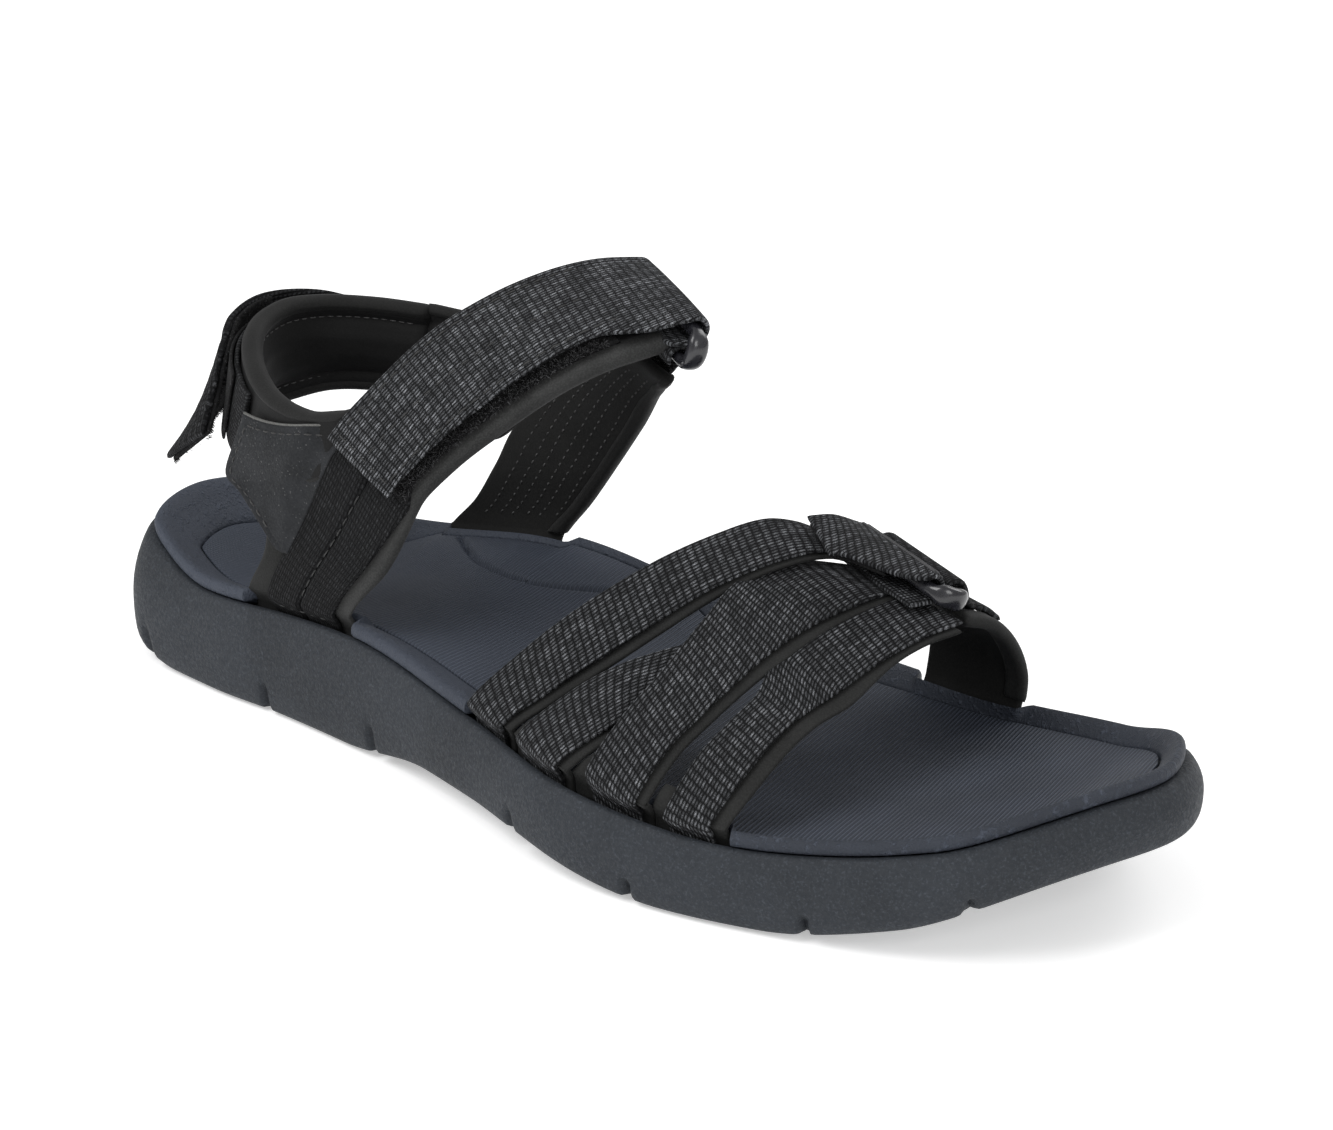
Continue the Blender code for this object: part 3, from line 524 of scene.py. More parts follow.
def footbed_material(name, ribs=True):
    """Moulded foam: fine curved ribs inside, a plain fine grain round the edge. Painted light:
    lighter towards the heel, painted highlights on the rib crests and pale painted highlight
    blotches round the edge.
    """
    colour = (0.0262, 0.0308, 0.0415)
    s = Shader(name, 0.6, Specular_IOR_Level=0.3)
    x, y, _ = s.split(s.object)
    mm_x = s.scaled(x, 1000.0, CENTRE[0])
    mm_y = s.scaled(y, 1000.0, CENTRE[1])
    grain = s.noise(s.object, 1700, 3.0, 0.6)
    cloud = s.noise(s.object, 60, 3.0)
    # painted light: the bed is drawn lighter towards the heel, standing in for the brighter light
    # that falls there
    painted_heel_light = s.spread(mm_x, 30.0, 235.0, 1.0, 0.0)
    base = s.mix(s.spread(cloud, 0.3, 0.7), shade(colour, 0.9),
                 shade(colour, 1.18))
    base = s.mix(s.times(painted_heel_light, 0.38), base, shade(colour, 3.2))
    if ribs:
        fade = s.math("EXPONENT", s.math("DIVIDE", s.math("SUBTRACT", 20.0, mm_x), 60.0))
        lean = s.scaled(fade, -1.25, 0.27)
        phase = s.scaled(lean, mm_y, mm_x)
        phase = s.scaled(s.noise(s.object, 30, 1.0), 1.2, phase)
        wave = s.math("SINE", s.times(phase, 2 * math.pi / 0.98))
        rib_and_highlight = s.spread(wave, -0.5, 0.9)
        rib_and_highlight = s.times(rib_and_highlight, s.spread(cloud, 0.25, 0.6, 0.35, 1.0))
        # painted highlight: the rib crests are drawn lighter, standing in for light catching them;
        # the same pattern also shapes the real ribs in the bump below
        base = s.mix(s.times(rib_and_highlight, 0.62), base, shade(colour, 3.1))
        s.bump(s.scaled(grain, 0.35, rib_and_highlight), 0.0004, 0.9)
    else:
        # painted highlight: pale blotches on the lip and rim stand in for their bright textured
        # highlight; the same pattern also roughens the bump
        lip_texture_and_highlight = s.spread(s.noise(s.object, 620, 3.0, 0.65), 0.5, 0.7)
        base = s.mix(s.times(lip_texture_and_highlight, 0.55), base, shade(colour, 2.6))
        s.bump(s.scaled(lip_texture_and_highlight, 0.8, grain), 0.00035, 0.9)
    s.colour(base)
    return s.material


def foam_material(name, colour=(0.0225, 0.0262, 0.0320), speck=1.0):
    """Moulded sole foam: fine pebbled grain with pale specks."""
    s = Shader(name, 0.62, Specular_IOR_Level=0.3)
    grain = s.noise(s.object, 1900, 3.0, 0.6)
    pebble = s.noise(s.object, 1150, 2.0, 0.5)
    cloud = s.noise(s.object, 45, 3.0)
    base = s.mix(s.spread(cloud, 0.3, 0.7), shade(colour, 0.85),
                 shade(colour, 1.15))
    dots = s.times(s.spread(grain, 0.5, 0.74), 0.42 * speck)
    s.colour(s.mix(dots, base, shade(colour, 3.4)))
    s.bump(s.scaled(pebble, 1.0, grain), 0.0003, 0.9)
    s.rough(s.spread(pebble, 0.3, 0.7, 0.55, 0.75))
    return s.material


def ring_material(name):
    """Glossy moulded plastic with faint handling marks."""
    s = Shader(name, 0.3, Coat_Weight=0.35, Coat_Roughness=0.08)
    marks = s.noise(s.object, 260, 4.0, 0.7)
    s.rough(s.spread(marks, 0.35, 0.7, 0.22, 0.36))
    s.colour(s.mix(s.spread(marks, 0.4, 0.7), (0.012, 0.012, 0.015), (0.020, 0.020, 0.024)))
    s.bump(s.noise(s.object, 120, 2.0), 0.00005, 0.5)
    return s.material


def thread_material(name, colour=(0.02, 0.02, 0.02)):
    s = Shader(name, 0.6)
    strands = s.noise(s.object, 2400, 2.0)
    s.colour(s.mix(s.spread(strands, 0.35, 0.65), shade(colour, 0.5),
                   shade(colour, 1.6)))
    s.bump(strands, 0.0001, 0.6)
    return s.material


def floor_material(name):
    s = Shader(name, 0.75, Specular_IOR_Level=0.1, Emission_Color=(1, 1, 1, 1),
               Emission_Strength=0.4)
    s.colour(s.mix(s.noise(s.object, 3.0), (0.9, 0.9, 0.9), (0.92, 0.92, 0.92)))
    return s.material


MAT = {
    "webbing": webbing_material("heathered_webbing", column=0.7, skew=0.0, level=1.0,
                                gap=0.62),
    "riser": webbing_material("riser_webbing", level=0.13),
    "fold": webbing_material("ribbed_webbing", pitch=0.9, column=1.1, skew=0.0),
    "narrow": webbing_material("forefoot_webbing", pitch=1.8, column=0.80, skew=0.36, level=0.86),
    "heel": webbing_material("heel_webbing", pitch=1.2, column=0.95, skew=0.0, level=0.22),
    "keeper": webbing_material("keeper_webbing", level=0.35),
    # also colours the forefoot ridges, where its pale tone is a painted highlight
    "loops": lining_material("pale_loops_and_ridge_highlight", (0.075, 0.075, 0.078)),
    "lining": lining_material("strap_lining", (0.0165, 0.0168, 0.0162)),
    "cushion": lining_material("cushion_lining", (0.0335, 0.034, 0.0335)),
    "inner": lining_material("inner_lining", (0.0085, 0.0085, 0.008)),
    "collar": lining_material("collar_lining", (0.0046, 0.0046, 0.0046)),
    "binding": lining_material("binding", (0.0115, 0.0115, 0.0112)),
    "pile": pile_material("hook_and_loop_pile"),
    "overlay": overlay_material("microfibre"),
    "cut_edge": lining_material("cut_edge", (0.12, 0.12, 0.115)),
    "ring": ring_material("glossy_plastic"),
    "footbed": footbed_material("ribbed_footbed"),
    "footbed_edge": footbed_material("footbed_edge", ribs=False),
    "midsole": foam_material("midsole_foam"),
    "outsole": foam_material("outsole_rubber", (0.026, 0.029, 0.034), 0.8),
    "thread": thread_material("black_thread"),
    "grey_thread": thread_material("grey_thread", (0.05, 0.05, 0.05)),
}


# --------------------------------------------------------------------- sole
COUNT = 720


def width_at(share):
    return table(OUTLINE, share, 1), table(OUTLINE, share, 2)


def make_rim():
    """The rim as a smooth closed loop: shares, y, side and inward directions."""
    lateral = [(s * RIM_LENGTH, low, 0) for s, low, _ in OUTLINE[1:-1]]
    medial = [(s * RIM_LENGTH, high, 0) for s, _, high in OUTLINE[1:-1]][::-1]
    loop = [(0.0, -3.05, 0)] + lateral + [(RIM_LENGTH, 10.4, 0)] + medial
    curve = Edge(loop[-3:] + loop + loop[:4])
    u = np.linspace(curve.s[3], curve.s[3 + len(loop)], COUNT, endpoint=False)
    p = curve(u)
    tip = curve.s[3 + 1 + len(lateral)]
    side = np.where(u <= tip, -1.0, 1.0)
    step = np.roll(p, -1, 0) - np.roll(p, 1, 0)
    step /= np.linalg.norm(step, axis=1)[:, None]
    return p[:, 0], p[:, 1], side, -step[:, 1], step[:, 0]


RIM_X, RIM_Y, RIM_SIDE, IN_X, IN_Y = make_rim()


def rim_height(share, side):
    rise = ARCH_RISE * np.exp(-((share - ARCH_X) / ARCH_SPREAD) ** 2)
    return table(RIM_HEIGHT, share) + rise * 0.5 * (1 + side)


def window(share, side):
    """1 where a strap enters the sole, 0 elsewhere, with ramps 1 mm long."""
    x, best = share * RIM_LENGTH, 0.0
    for which, first, last in STRAP_WINDOWS:
        opening = smooth(x - first + 1.0) * smooth(last + 1.0 - x)
        best = np.maximum(best, np.where(which * side > 0, opening, 0.0))
    return best


def ring(depth, height, pull=0.0, drop=0.0):
    """Ring of points `depth` mm inside the rim, then pulled towards the middle line."""
    share = np.clip(RIM_X / RIM_LENGTH, 0.0, 1.0)
    d = depth(share, RIM_SIDE) if callable(depth) else np.full(COUNT, float(depth))
    amount = pull(share) if callable(pull) else pull
    x, y = RIM_X + IN_X * d, RIM_Y + IN_Y * d
    spine = np.clip(x / RIM_LENGTH, 0.14, 0.86)
    x = lerp(x, spine * RIM_LENGTH, amount)
    y = lerp(y, sum(width_at(spine)) / 2, amount)
    here = lerp(share, np.clip(x / RIM_LENGTH, 0.0, 1.0), smooth(d / 6))
    low, high = width_at(here)
    offset = np.clip(np.abs(2 * y - low - high) / np.maximum(high - low, 1.0), 0.01, 1.0)
    z = height(here, RIM_SIDE * offset) - (drop(x, y) if callable(drop) else drop)
    return np.stack([x, y, z], 1)


def dish(share):
    return table(DISH_DEPTH, share)


def seam(share, side):
    return rim_height(share, side) - LIP


def footbed_top(share, side, drop):
    return rim_height(share, side) - dish(share) * drop


def ground(share):
    return table(GROUND_HEIGHT, share)


def closed_rings(name, rings, material, replaces):
    """A closed solid through rings, zipped shut at the first and last one."""
    points = np.concatenate(rings)
    faces = loft((len(rings), COUNT))
    for base, flip in ((0, True), ((len(rings) - 1) * COUNT, False)):
        for i in range(COUNT // 2):
            ids = [(base + k % COUNT) for k in (i, i + 1, COUNT - i - 1, COUNT - i)]
            ids = list(dict.fromkeys(ids))
            if len(ids) > 2:
                faces.append(ids[::-1] if flip else ids)
    build(name, points, faces, material, ROOT, replaces, points[:, :2], 60)


def arch_pad(share, side):
    """1 beside the arch, where the bed runs out to the rim as one raised pad."""
    reach = smooth((share - 0.15) / 0.07) * smooth((0.52 - share) / 0.07)
    return np.where(side > 0, reach, 0.0)


def inset(share, side):
    """Distance from the rim to the groove between the lip and the ribbed bed."""
    plain = 8.9 - 1.2 * smooth((share - 0.1) / 0.15) - 3.0 * smooth((share - 0.6) / 0.22)
    return lerp(plain, 3.0 + 3.0 * window(share, side), arch_pad(share, side))


def groove_pull(share):
    return 0.05 * (1 - smooth((share - 0.12) / 0.2))


ARCH_GROOVE = Edge([(50, 35, 0), (56, 28.9, 0), (64, 22.3, 0), (74, 15.8, 0), (83, 12.8, 0),
                    (91, 12.0, 0), (99, 13.8, 0), (107, 17.8, 0), (115, 23.5, 0), (122, 31, 0)])


def arch_groove(x, y):
    """Depth of the moulded line round the arch pad."""
    path = ARCH_GROOVE(np.linspace(0, 1, 160))[:, :2]
    d = np.sqrt(((np.stack([x, y], 1)[:, None] - path[None]) ** 2).sum(2)).min(1)
    return 1.5 * np.exp(-(d / 0.55) ** 2)


def build_footbed():
    notch = lambda s, side: NOTCH * window(s, side)
    under = lambda s, side: footbed_top(s, side, 1.0) - 6.0
    rings = [ring(9.0, under, 0.88, 0.6), ring(9.0, under, 0.45),
             ring(9.0, lambda s, d: np.minimum(seam(s, d) + 2 * GAP, under(s, d) + 2.6), 0.15)]
    for depth, rise in ((0.9, 0.06), (0.45, 0.12), (0.22, 0.24), (0.12, 0.4), (0.12, 0.56),
                        (0.24, 0.72), (0.5, 0.85), (0.9, 0.94)):
        rings.append(ring(lambda s, d: depth + notch(s, d), seam, drop=-rise * LIP))
    shallow = lambda s, d: lerp(0.86, 0.2, arch_pad(s, d))
    for t in (0.1, 0.2, 0.3, 0.41, 0.52, 0.64, 0.76, 0.88, 0.96):
        depth = lambda s, d: lerp(0.9 + notch(s, d), inset(s, d) - 0.06, t)
        fall = lambda s, d: footbed_top(s, d, lerp(0.02, 1, t ** 1.5) * shallow(s, d))
        rings.append(ring(depth, fall, lambda s: groove_pull(s) * smooth((t - 0.4) / 0.55)))
    edge = lambda s, d: footbed_top(s, d, shallow(s, d))
    further = lambda more: (lambda s, d: inset(s, d) + more)
    groove = lambda steps: [ring(further(more), edge, groove_pull, drop) for more, drop in steps]
    rings += groove(((0.0, 0.1), (0.04, 0.5), (0.06, 1.4)))
    bed = lambda s, side: footbed_top(s, side, 1.0)
    rings += [ring(9.0, bed, 0.45, 1.3), ring(9.0, bed, 0.88, 1.9)]
    closed_rings("footbed_body", rings, MAT["footbed_edge"], ["footbed"])

    rings = [ring(9.0, bed, 0.88, 1.55), ring(9.0, bed, 0.45, 0.95)]
    rings += groove(((0.75, 1.1), (0.58, 0.7), (0.55, 0.35), (0.7, 0.1), (1.0, 0.0)))
    levels = 84
    for k in range(1, levels + 1):
        t = k / levels
        pull = lambda s: lerp(groove_pull(s), 0.88, t)
        fall = lambda s, d: footbed_top(s, d, lerp(shallow(s, d), 1.0, smooth(
            t * lerp(1.6, 1.1, arch_pad(s, d)))))
        rings.append(ring(further(1.05), fall, pull, lambda x, y: arch_groove(x, y) - 0.02))
    closed_rings("footbed_top_cover", rings, MAT["footbed"], ["footbed_cover"])


def reach(share):
    """How much further the sidewall bulges at the heel and toe."""
    return 1.0 + 1.5 * smooth((0.12 - share) / 0.12) + 0.6 * smooth((share - 0.8) / 0.2)


def crease(x, height):
    """Depth of the flex creases in the sidewall; height is 0 at the tread, 1 at the rim."""
    total = 0.0
    for where in POD_ENDS[1:-1]:
        total = total + np.exp(-((x - where) / 0.85) ** 2)
    return np.clip(total, 0, 1) * (0.7 * smooth((0.5 - height) / 0.4)
                                   + 2.0 * smooth((0.3 - height) / 0.12))


def build_midsole():
    """The foam wall, which comes down round the pods as a thin skirt."""
    under = lambda s, side: footbed_top(s, side, 1.0) - 7.2
    slot = lambda s, side: seam(s, side) - 3 * GAP - SLOT_DROP * window(s, side)
    roof = lambda s, side: ground(s) + POD + 0.2 + 1.2 * smooth((s - 0.88) / 0.08)
    bottom = lambda s, side: ground(s) + SKIRT
    rings = [ring(9.0, under, 0.88, 0.6), ring(9.0, under, 0.45),
             ring(9.0, lambda s, d: np.minimum(slot(s, d), under(s, d) + 1.5), 0.15),
             ring(1.6, slot), ring(1.3, lambda s, d: np.minimum(slot(s, d) + 0.5, seam(s, d))),
             ring(1.2, seam, drop=0.35), ring(0.95, seam, drop=0.05), ring(0.5, seam, drop=0.0),
             ring(0.0, seam, drop=0.03)]
    profile = [(0.0, -0.45), (0.04, -0.85), (0.09, -1.15), (0.15, -1.45), (0.23, -1.8),
               (0.32, -2.1), (0.42, -2.34), (0.5, -2.44), (0.58, -2.48), (0.66, -2.48),
               (0.72, -2.46), (0.78, -2.42), (0.84, -2.34), (0.89, -2.2), (0.93, -2.0),
               (0.965, -1.75), (0.99, -1.4), (1.0, -1.1)]
    for part, out in profile:
        def depth(s, d):
            return out * reach(s) + crease(RIM_X, 1 - part)
        def height(s, d):
            return lerp(seam(s, d), bottom(s, d), part) - 0.12 * (part == 0)
        rings.append(ring(depth, height))
    inner = lambda more: (lambda s, d: -0.8 + more + crease(RIM_X, 0.0) * 0.9)
    rings += [ring(inner(0.0), bottom, drop=-0.15), ring(inner(0.2), bottom, drop=-0.6),
              ring(inner(0.3), roof, drop=0.3), ring(inner(0.6), roof),
              ring(9.0, roof, 0.15), ring(9.0, roof, 0.88)]
    closed_rings("midsole_body", rings, MAT["midsole"], ["midsole"])


def build_outsole():
    """Tread pods with rounded edges and shallow grooves underneath."""
    loop_x, loop_y = RIM_X - IN_X * POD_BULGE, RIM_Y - IN_Y * POD_BULGE
    halves = [np.nonzero(RIM_SIDE < 0)[0], np.nonzero(RIM_SIDE > 0)[0]]
    halves = [ids[np.argsort(loop_x[ids])] for ids in halves]
    for k, name in enumerate(POD_NAMES):
        first = max(POD_ENDS[k] + POD_SETBACK, loop_x.min() + 0.4)
        last = min(POD_ENDS[k + 1] - POD_SETBACK, loop_x.max() - 0.4)
        span = last - first
        x = np.unique(np.concatenate([np.linspace(first, last, int(span / 0.8) + 2),
                                      first + np.array([0.15, 0.4]), last - np.array([0.15, 0.4])]))
        share = np.clip(x / RIM_LENGTH, 0, 1)
        low, high = (np.interp(x, loop_x[half], loop_y[half]) for half in halves)
        ends = np.minimum(ease(x - first, 0.9), ease(last - x, 0.9))
        base = ground(share) + (1 - ends) * 0.8
        rows = []
        edge = [(0.2, POD), (0.03, 3.4), (0.0, 2.8), (0.08, 2.1), (0.3, 1.4), (0.7, 0.75),
                (1.2, 0.3), (1.8, 0.0)]
        for inset, z in edge:
            rows.append(np.stack([x, low + inset, base + z], 1))
        for s in np.linspace(0, 1, 70)[1:-1]:
            y = lerp(low + 1.5, high - 1.5, s)
            away = smooth(np.minimum(s, 1 - s) * 14 - 0.9)
            phase = (x - 2.0 + 2.2 * np.sin(s * 18)) % TREAD_PITCH
            wavy = smooth(np.abs(phase - TREAD_PITCH / 2) / 0.5 - 0.5)
            tread = 1.1 * (1 - wavy) * away * smooth((np.minimum(x - first, last - x) - 1.5) / 1.0)
            rows.append(np.stack([x, y, base + tread], 1))
        for inset, z in edge[::-1]:
            rows.append(np.stack([x, high - inset, base + z], 1))
        grid = np.stack(rows, 1)
        points = grid.reshape(-1, 3)
        build("tread_pod_" + name, points, capped(*grid.shape[:2]), MAT["outsole"], ROOT,
              ["outsole_pod_" + name], points[:, :2])


# ------------------------------------------------------------------- straps
def lasted(points):
    """Adds the tongue that tucks under the footbed before a strap's base."""
    x, y, _ = points[0]
    side = -1 if y < 0 else 1
    share = x / RIM_LENGTH
    edge = float(table(OUTLINE, share, 1 if side < 0 else 2))
    z = float(seam(share, side))
    tuck = [(x, edge - side * 9.0, z - SLOT_DROP + 0.7),
            (x, edge - side * 4.6, z - SLOT_DROP + 0.7),
            (x, edge - side * 2.5, z - SLOT_DROP + 2.4)]
    return tuck + [(x, edge - side * 2.0, z)] + points


FOREFOOT = {
    "rear": ([(123, -41, 25.6), (129, -32, 35), (136, -24, 43.2), (142, -16, 49.1),
              (148, -7, 54.3), (155, 2, 58.6), (161, 10, 61), (165.5, 15, 60.2),
              (169, 19.5, 57.6)],
             [(135, -44, 24.5), (141, -36, 31.1), (148, -27, 37.8), (154, -18, 43.8),
              (160, -9, 49.6), (167, 0, 54.2), (173, 8, 56.6), (177, 13, 57.0),
              (180.5, 16, 56.2)]),
    "second": ([(142, -47, 25.4), (148, -39, 33.4), (154, -30, 38.6), (161, -21, 41.6),
                (167, -14, 43.4)],
               [(155, -50, 23.3), (160, -43, 29.4), (164.5, -36.5, 32.6), (169, -29, 34.6),
                (174, -22, 36.6)]),
    "third": ([(163, -50, 24.5), (164.7, -41, 33.9), (166.1, -32, 39.8), (166.8, -24, 44.8),
               (166.3, -15, 48.8), (164.5, -6, 51.1), (164.2, 3, 52.3), (168, 11, 53.3),
               (178, 18, 52.6)],
              [(175.5, -50, 21.2), (177, -41, 30.5), (178.5, -32, 35.4), (180.5, -23, 40.3),
               (182.5, -14, 44.6), (184.5, -5, 47.4), (187.5, 4, 49.6), (191, 12, 51.2),
               (192.5, 14.5, 51.6)]),
    "front": ([(182, -49, 20.2), (183, -40, 30), (184, -31, 34.9), (185, -22, 38.9),
               (186, -14, 43), (187.5, -5, 46.2), (190, 4, 48.7), (193, 10.5, 50.4),
               (195.5, 16, 51.4)],
              [(192, -47, 19.9), (194, -39, 28.4), (195, -30, 33.9), (196, -22, 37.2),
               (198, -14, 40.4), (200, -5, 43.6), (203, 3, 46.8), (206.5, 8.5, 49.3),
               (209, 13.5, 50.4)]),
}


def crown(size):
    """A low arch across a strap's outer face."""
    return lambda d, w, u, v, width: size * (1 - (2 * v - 1) ** 2) - size * 0.5


def build_forefoot_straps():
    for name, (rear, front) in FOREFOOT.items():
        band = Band(lasted(rear), lasted(front))
        width = float(np.linalg.norm(np.subtract(front[2], rear[2])))
        tuck = lambda u: 0.42 * smooth((u - 0.5) / 0.16) * (name == "front")
        strap("forefoot_webbing_" + name, band, (0, 1), lambda u: (-tuck(u), 1), WEBBING, "narrow",
              lift=lambda u: -3.2 * tuck(u), profile=crown(0.35), step=1.0, across=1.0,
              replaces=["forefoot_strap_" + name])
        extra = 3.2 if name == "front" else 2.1
        edges = lambda u: (-0.3 / width, 1 + lerp(extra, 0.9, smooth((u - 0.6) / 0.25)) / width)
        strap("forefoot_backing_" + name, band, (0, 0.985), edges, 1.15, "lining",
              lift=lambda u: -WEBBING - 0.12 - 3.2 * tuck(u), step=1.4,
              replaces=["forefoot_strap_%s_lining" % name])


GUSSETS = {
    "rear": ((137.2, 2.0), (141.4, 1.1)),
    "middle": ((157.4, 1.9), (162.4, 0.4)),
    "front": ((177.6, 0.5), (181.5, 0.1)),
}


def gusset_edge(x, lean):
    share = x / RIM_LENGTH
    y, z = float(table(OUTLINE, share, 1)), float(rim_height(share, -1))
    return lasted([(x, y + 1.2, z - 0.5), (x + lean, y + 2.6, z + 2.6),
                   (x + 2 * lean, y + 4.6, z + 4.6)])


def build_gussets():
    for name, (rear, front) in GUSSETS.items():
        band = Band(gusset_edge(*rear), gusset_edge(*front))
        strap("gusset_" + name, band, (0, 1), (0, 1), LINING, "lining",
              lift=-WEBBING - GAP, step=0.7, across=0.7, replaces=["strap_gusset_" + name])


# -------------------------------------------------------------------- rings
class Bars:
    """The two parallel bars of a ring. `out` points away from the strap."""

    def __init__(self, middle, axis, spacing, drop_deg, half):
        self.axis = unit(np.array(axis, float))
        self.out = unit(np.array([-self.axis[1], self.axis[0], 0.0]))
        self.up = np.cross(self.axis, self.out)
        self.strap = np.array(middle, float)
        angle = math.radians(drop_deg)
        self.across = self.out * math.cos(angle) - self.up * math.sin(angle)
        self.keeper = self.strap + self.across * spacing
        self.spacing, self.half = spacing, half

    def spoke(self, degrees):
        a = math.radians(degrees)
        return self.out * math.cos(a) + self.up * math.sin(a)

    def around(self, centre, along, radius, degrees):
        return centre + self.axis * along + self.spoke(degrees) * radius

    def wrap(self, centre, radius, turns, narrow=0.0):
        """The rear and front edges of webbing wound round a bar by these angles."""
        return [[self.around(centre, along, radius, turn) for turn in turns]
                for along in (narrow - self.half, self.half - narrow)]


INSTEP_RING = Bars((127.2, 19.2, 99.6), (0.881, -0.43, -0.19), 7.4, 104, 15.2)
FOREFOOT_RING = Bars((188.0, 18.6, 54.9), (0.911, -0.412, -0.04), 7.2, 22, 15.6)
WRAP_RADIUS, KEEPER_RADIUS, ROD = 3.6, 3.3, 1.4    # outer faces of the webbing, and the bar
FLAP_TURN, FOLD_TURNS = (78, -50), (-68, -84, -98)  # degrees round the strap bar
KEEPER_TURNS = (205, 190, 175, 160, 145, 130, 115, 100, 85, 70, 55, 38, 16)
FOLD, FOLD_ABOVE = WEBBING + 0.1, 2.2               # thickness, and a height over the strap bar


def build_ring(name, bars, body, node):
    """A moulded stadium-shaped loop, a little stouter at its ends."""
    reach, radius = bars.half + 1.2, bars.spacing / 2
    middle = (bars.strap + bars.keeper) / 2
    path = []
    straight = reach - radius * 0.55
    for sign in (1, -1):
        for k in range(19):
            a = math.radians(-90 + 10 * k)
            along = sign * (straight + radius * math.cos(a))
            path.append(middle + bars.axis * along + bars.across * (radius * math.sin(a) * sign))
        a, b = path[-1], middle - sign * bars.axis * straight + bars.across * (radius * sign)
        path += [lerp(a, b, t) for t in np.linspace(0, 1, 14)[1:-1]]
    path = np.array(path)
    tangent = unit(np.roll(path, -1, 0) - np.roll(path, 1, 0))
    flat = np.cross(bars.axis, bars.across)
    side = unit(np.cross(tangent, flat))
    along = (path - middle) @ bars.axis
    stout = smooth((np.abs(along) - bars.half - 0.3) / 2.0)
    sides = 28
    a = np.arange(sides) * 2 * math.pi / sides
    square = lambda c: np.sign(c) * np.abs(c) ** 0.75
    wide, tall = (ROD + 0.2 * stout)[:, None], (ROD + 0.9 * stout)[:, None]
    points = (path[:, None] + side[:, None] * (square(np.cos(a))[None] * wide)[..., None]
              + flat * (square(np.sin(a))[None] * tall)[..., None])
    n = len(path)
    faces = loft((n, sides))
    last = (n - 1) * sides
    faces += [[last + q, last + (q + 1) % sides, (q + 1) % sides, q] for q in range(sides)]
    build(name, points.reshape(-1, 3), faces, MAT["ring"], body, [node], angle=70)


def folded(bars, rear, front):
    """A flap whose edges carry on round the strap bar."""
    wound = bars.wrap(bars.strap, WRAP_RADIUS, [lerp(*FLAP_TURN, k / 5) for k in range(6)])
    return Band(rear + wound[0], front + wound[1])


def add_fold(name, bars, flap, join, tails, start, below, kind, body, side=(0, 1), **looks):
    """Webbing from the flap's end round the strap bar to the root side."""
    share = np.linspace(join, flap.rear.s[-1], 9)
    wound = bars.wrap(bars.strap, WRAP_RADIUS, FOLD_TURNS)
    rear, front = (list(edge(share)) + more + tail for edge, more, tail
                   in zip((flap.rear, flap.front), wound, tails))
    shares, dist = flap.arc()
    shift = np.interp(join, shares, dist) - start(shares, dist)
    strap(name, Band(rear, front, flap.facing), (0, 0.98), side, FOLD, kind, body, shift=shift,
          round_ends=(False, True), profile=crown(0.3),
          blend=(bars.strap - bars.up * below, bars.strap + bars.up * FOLD_ABOVE), **looks)


def add_keeper(name, bars, panel, step, node, high=0.88, narrow=1.5):
    """Webbing round the keeper bar that runs down on the panel's outer face."""
    rear, front = bars.wrap(bars.keeper, KEEPER_RADIUS, KEEPER_TURNS, narrow)
    for along in (0.92, 0.84, 0.74):
        rear.append(panel.point(along, 0.12, WEBBING + 2 * GAP))
        front.append(panel.point(along, high, WEBBING + 2 * GAP))
    strap(name, Band(rear, front), (0, 1), (0, 1), WEBBING, "keeper", step=step, replaces=[node])


# ------------------------------------------------------------- instep strap
INSTEP_REAR = [(52, -30, 28.7), (64, -31, 49), (76, -33, 71), (83, -22.5, 84.3),
               (89, -12.5, 93.6), (96, -2, 100.3), (103, 8, 104.6), (109, 17, 106.4)]
INSTEP_FRONT = [(74, -31, 29.3), (85, -32.5, 43.3), (97, -33, 59.5), (104, -26, 70.5),
                (112, -18, 79.7), (119, -10, 87.3), (126.5, -2, 93.3), (134, 6.5, 97.4)]
STRAP_STACK = 3.7
RISER = Band(lasted(INSTEP_REAR), lasted(INSTEP_FRONT))
FLAP_START = RISER.rear.s[6]


def sink(u):
    return -STRAP_STACK * smooth((u - 0.2) / (FLAP_START - 0.2))


def stitch_dents(lines, size=0.28, width=0.55):
    """Shallow valleys along sewn lines given as shares across."""
    def profile(d, w, u, v, total):
        dent = 0.0
        for line in lines:
            dent = dent - size * np.exp(-(((v - line) * total) / width) ** 2)
        return dent
    return profile


def both(*profiles):
    return lambda d, w, u, v, width: sum(p(d, w, u, v, width) for p in profiles)


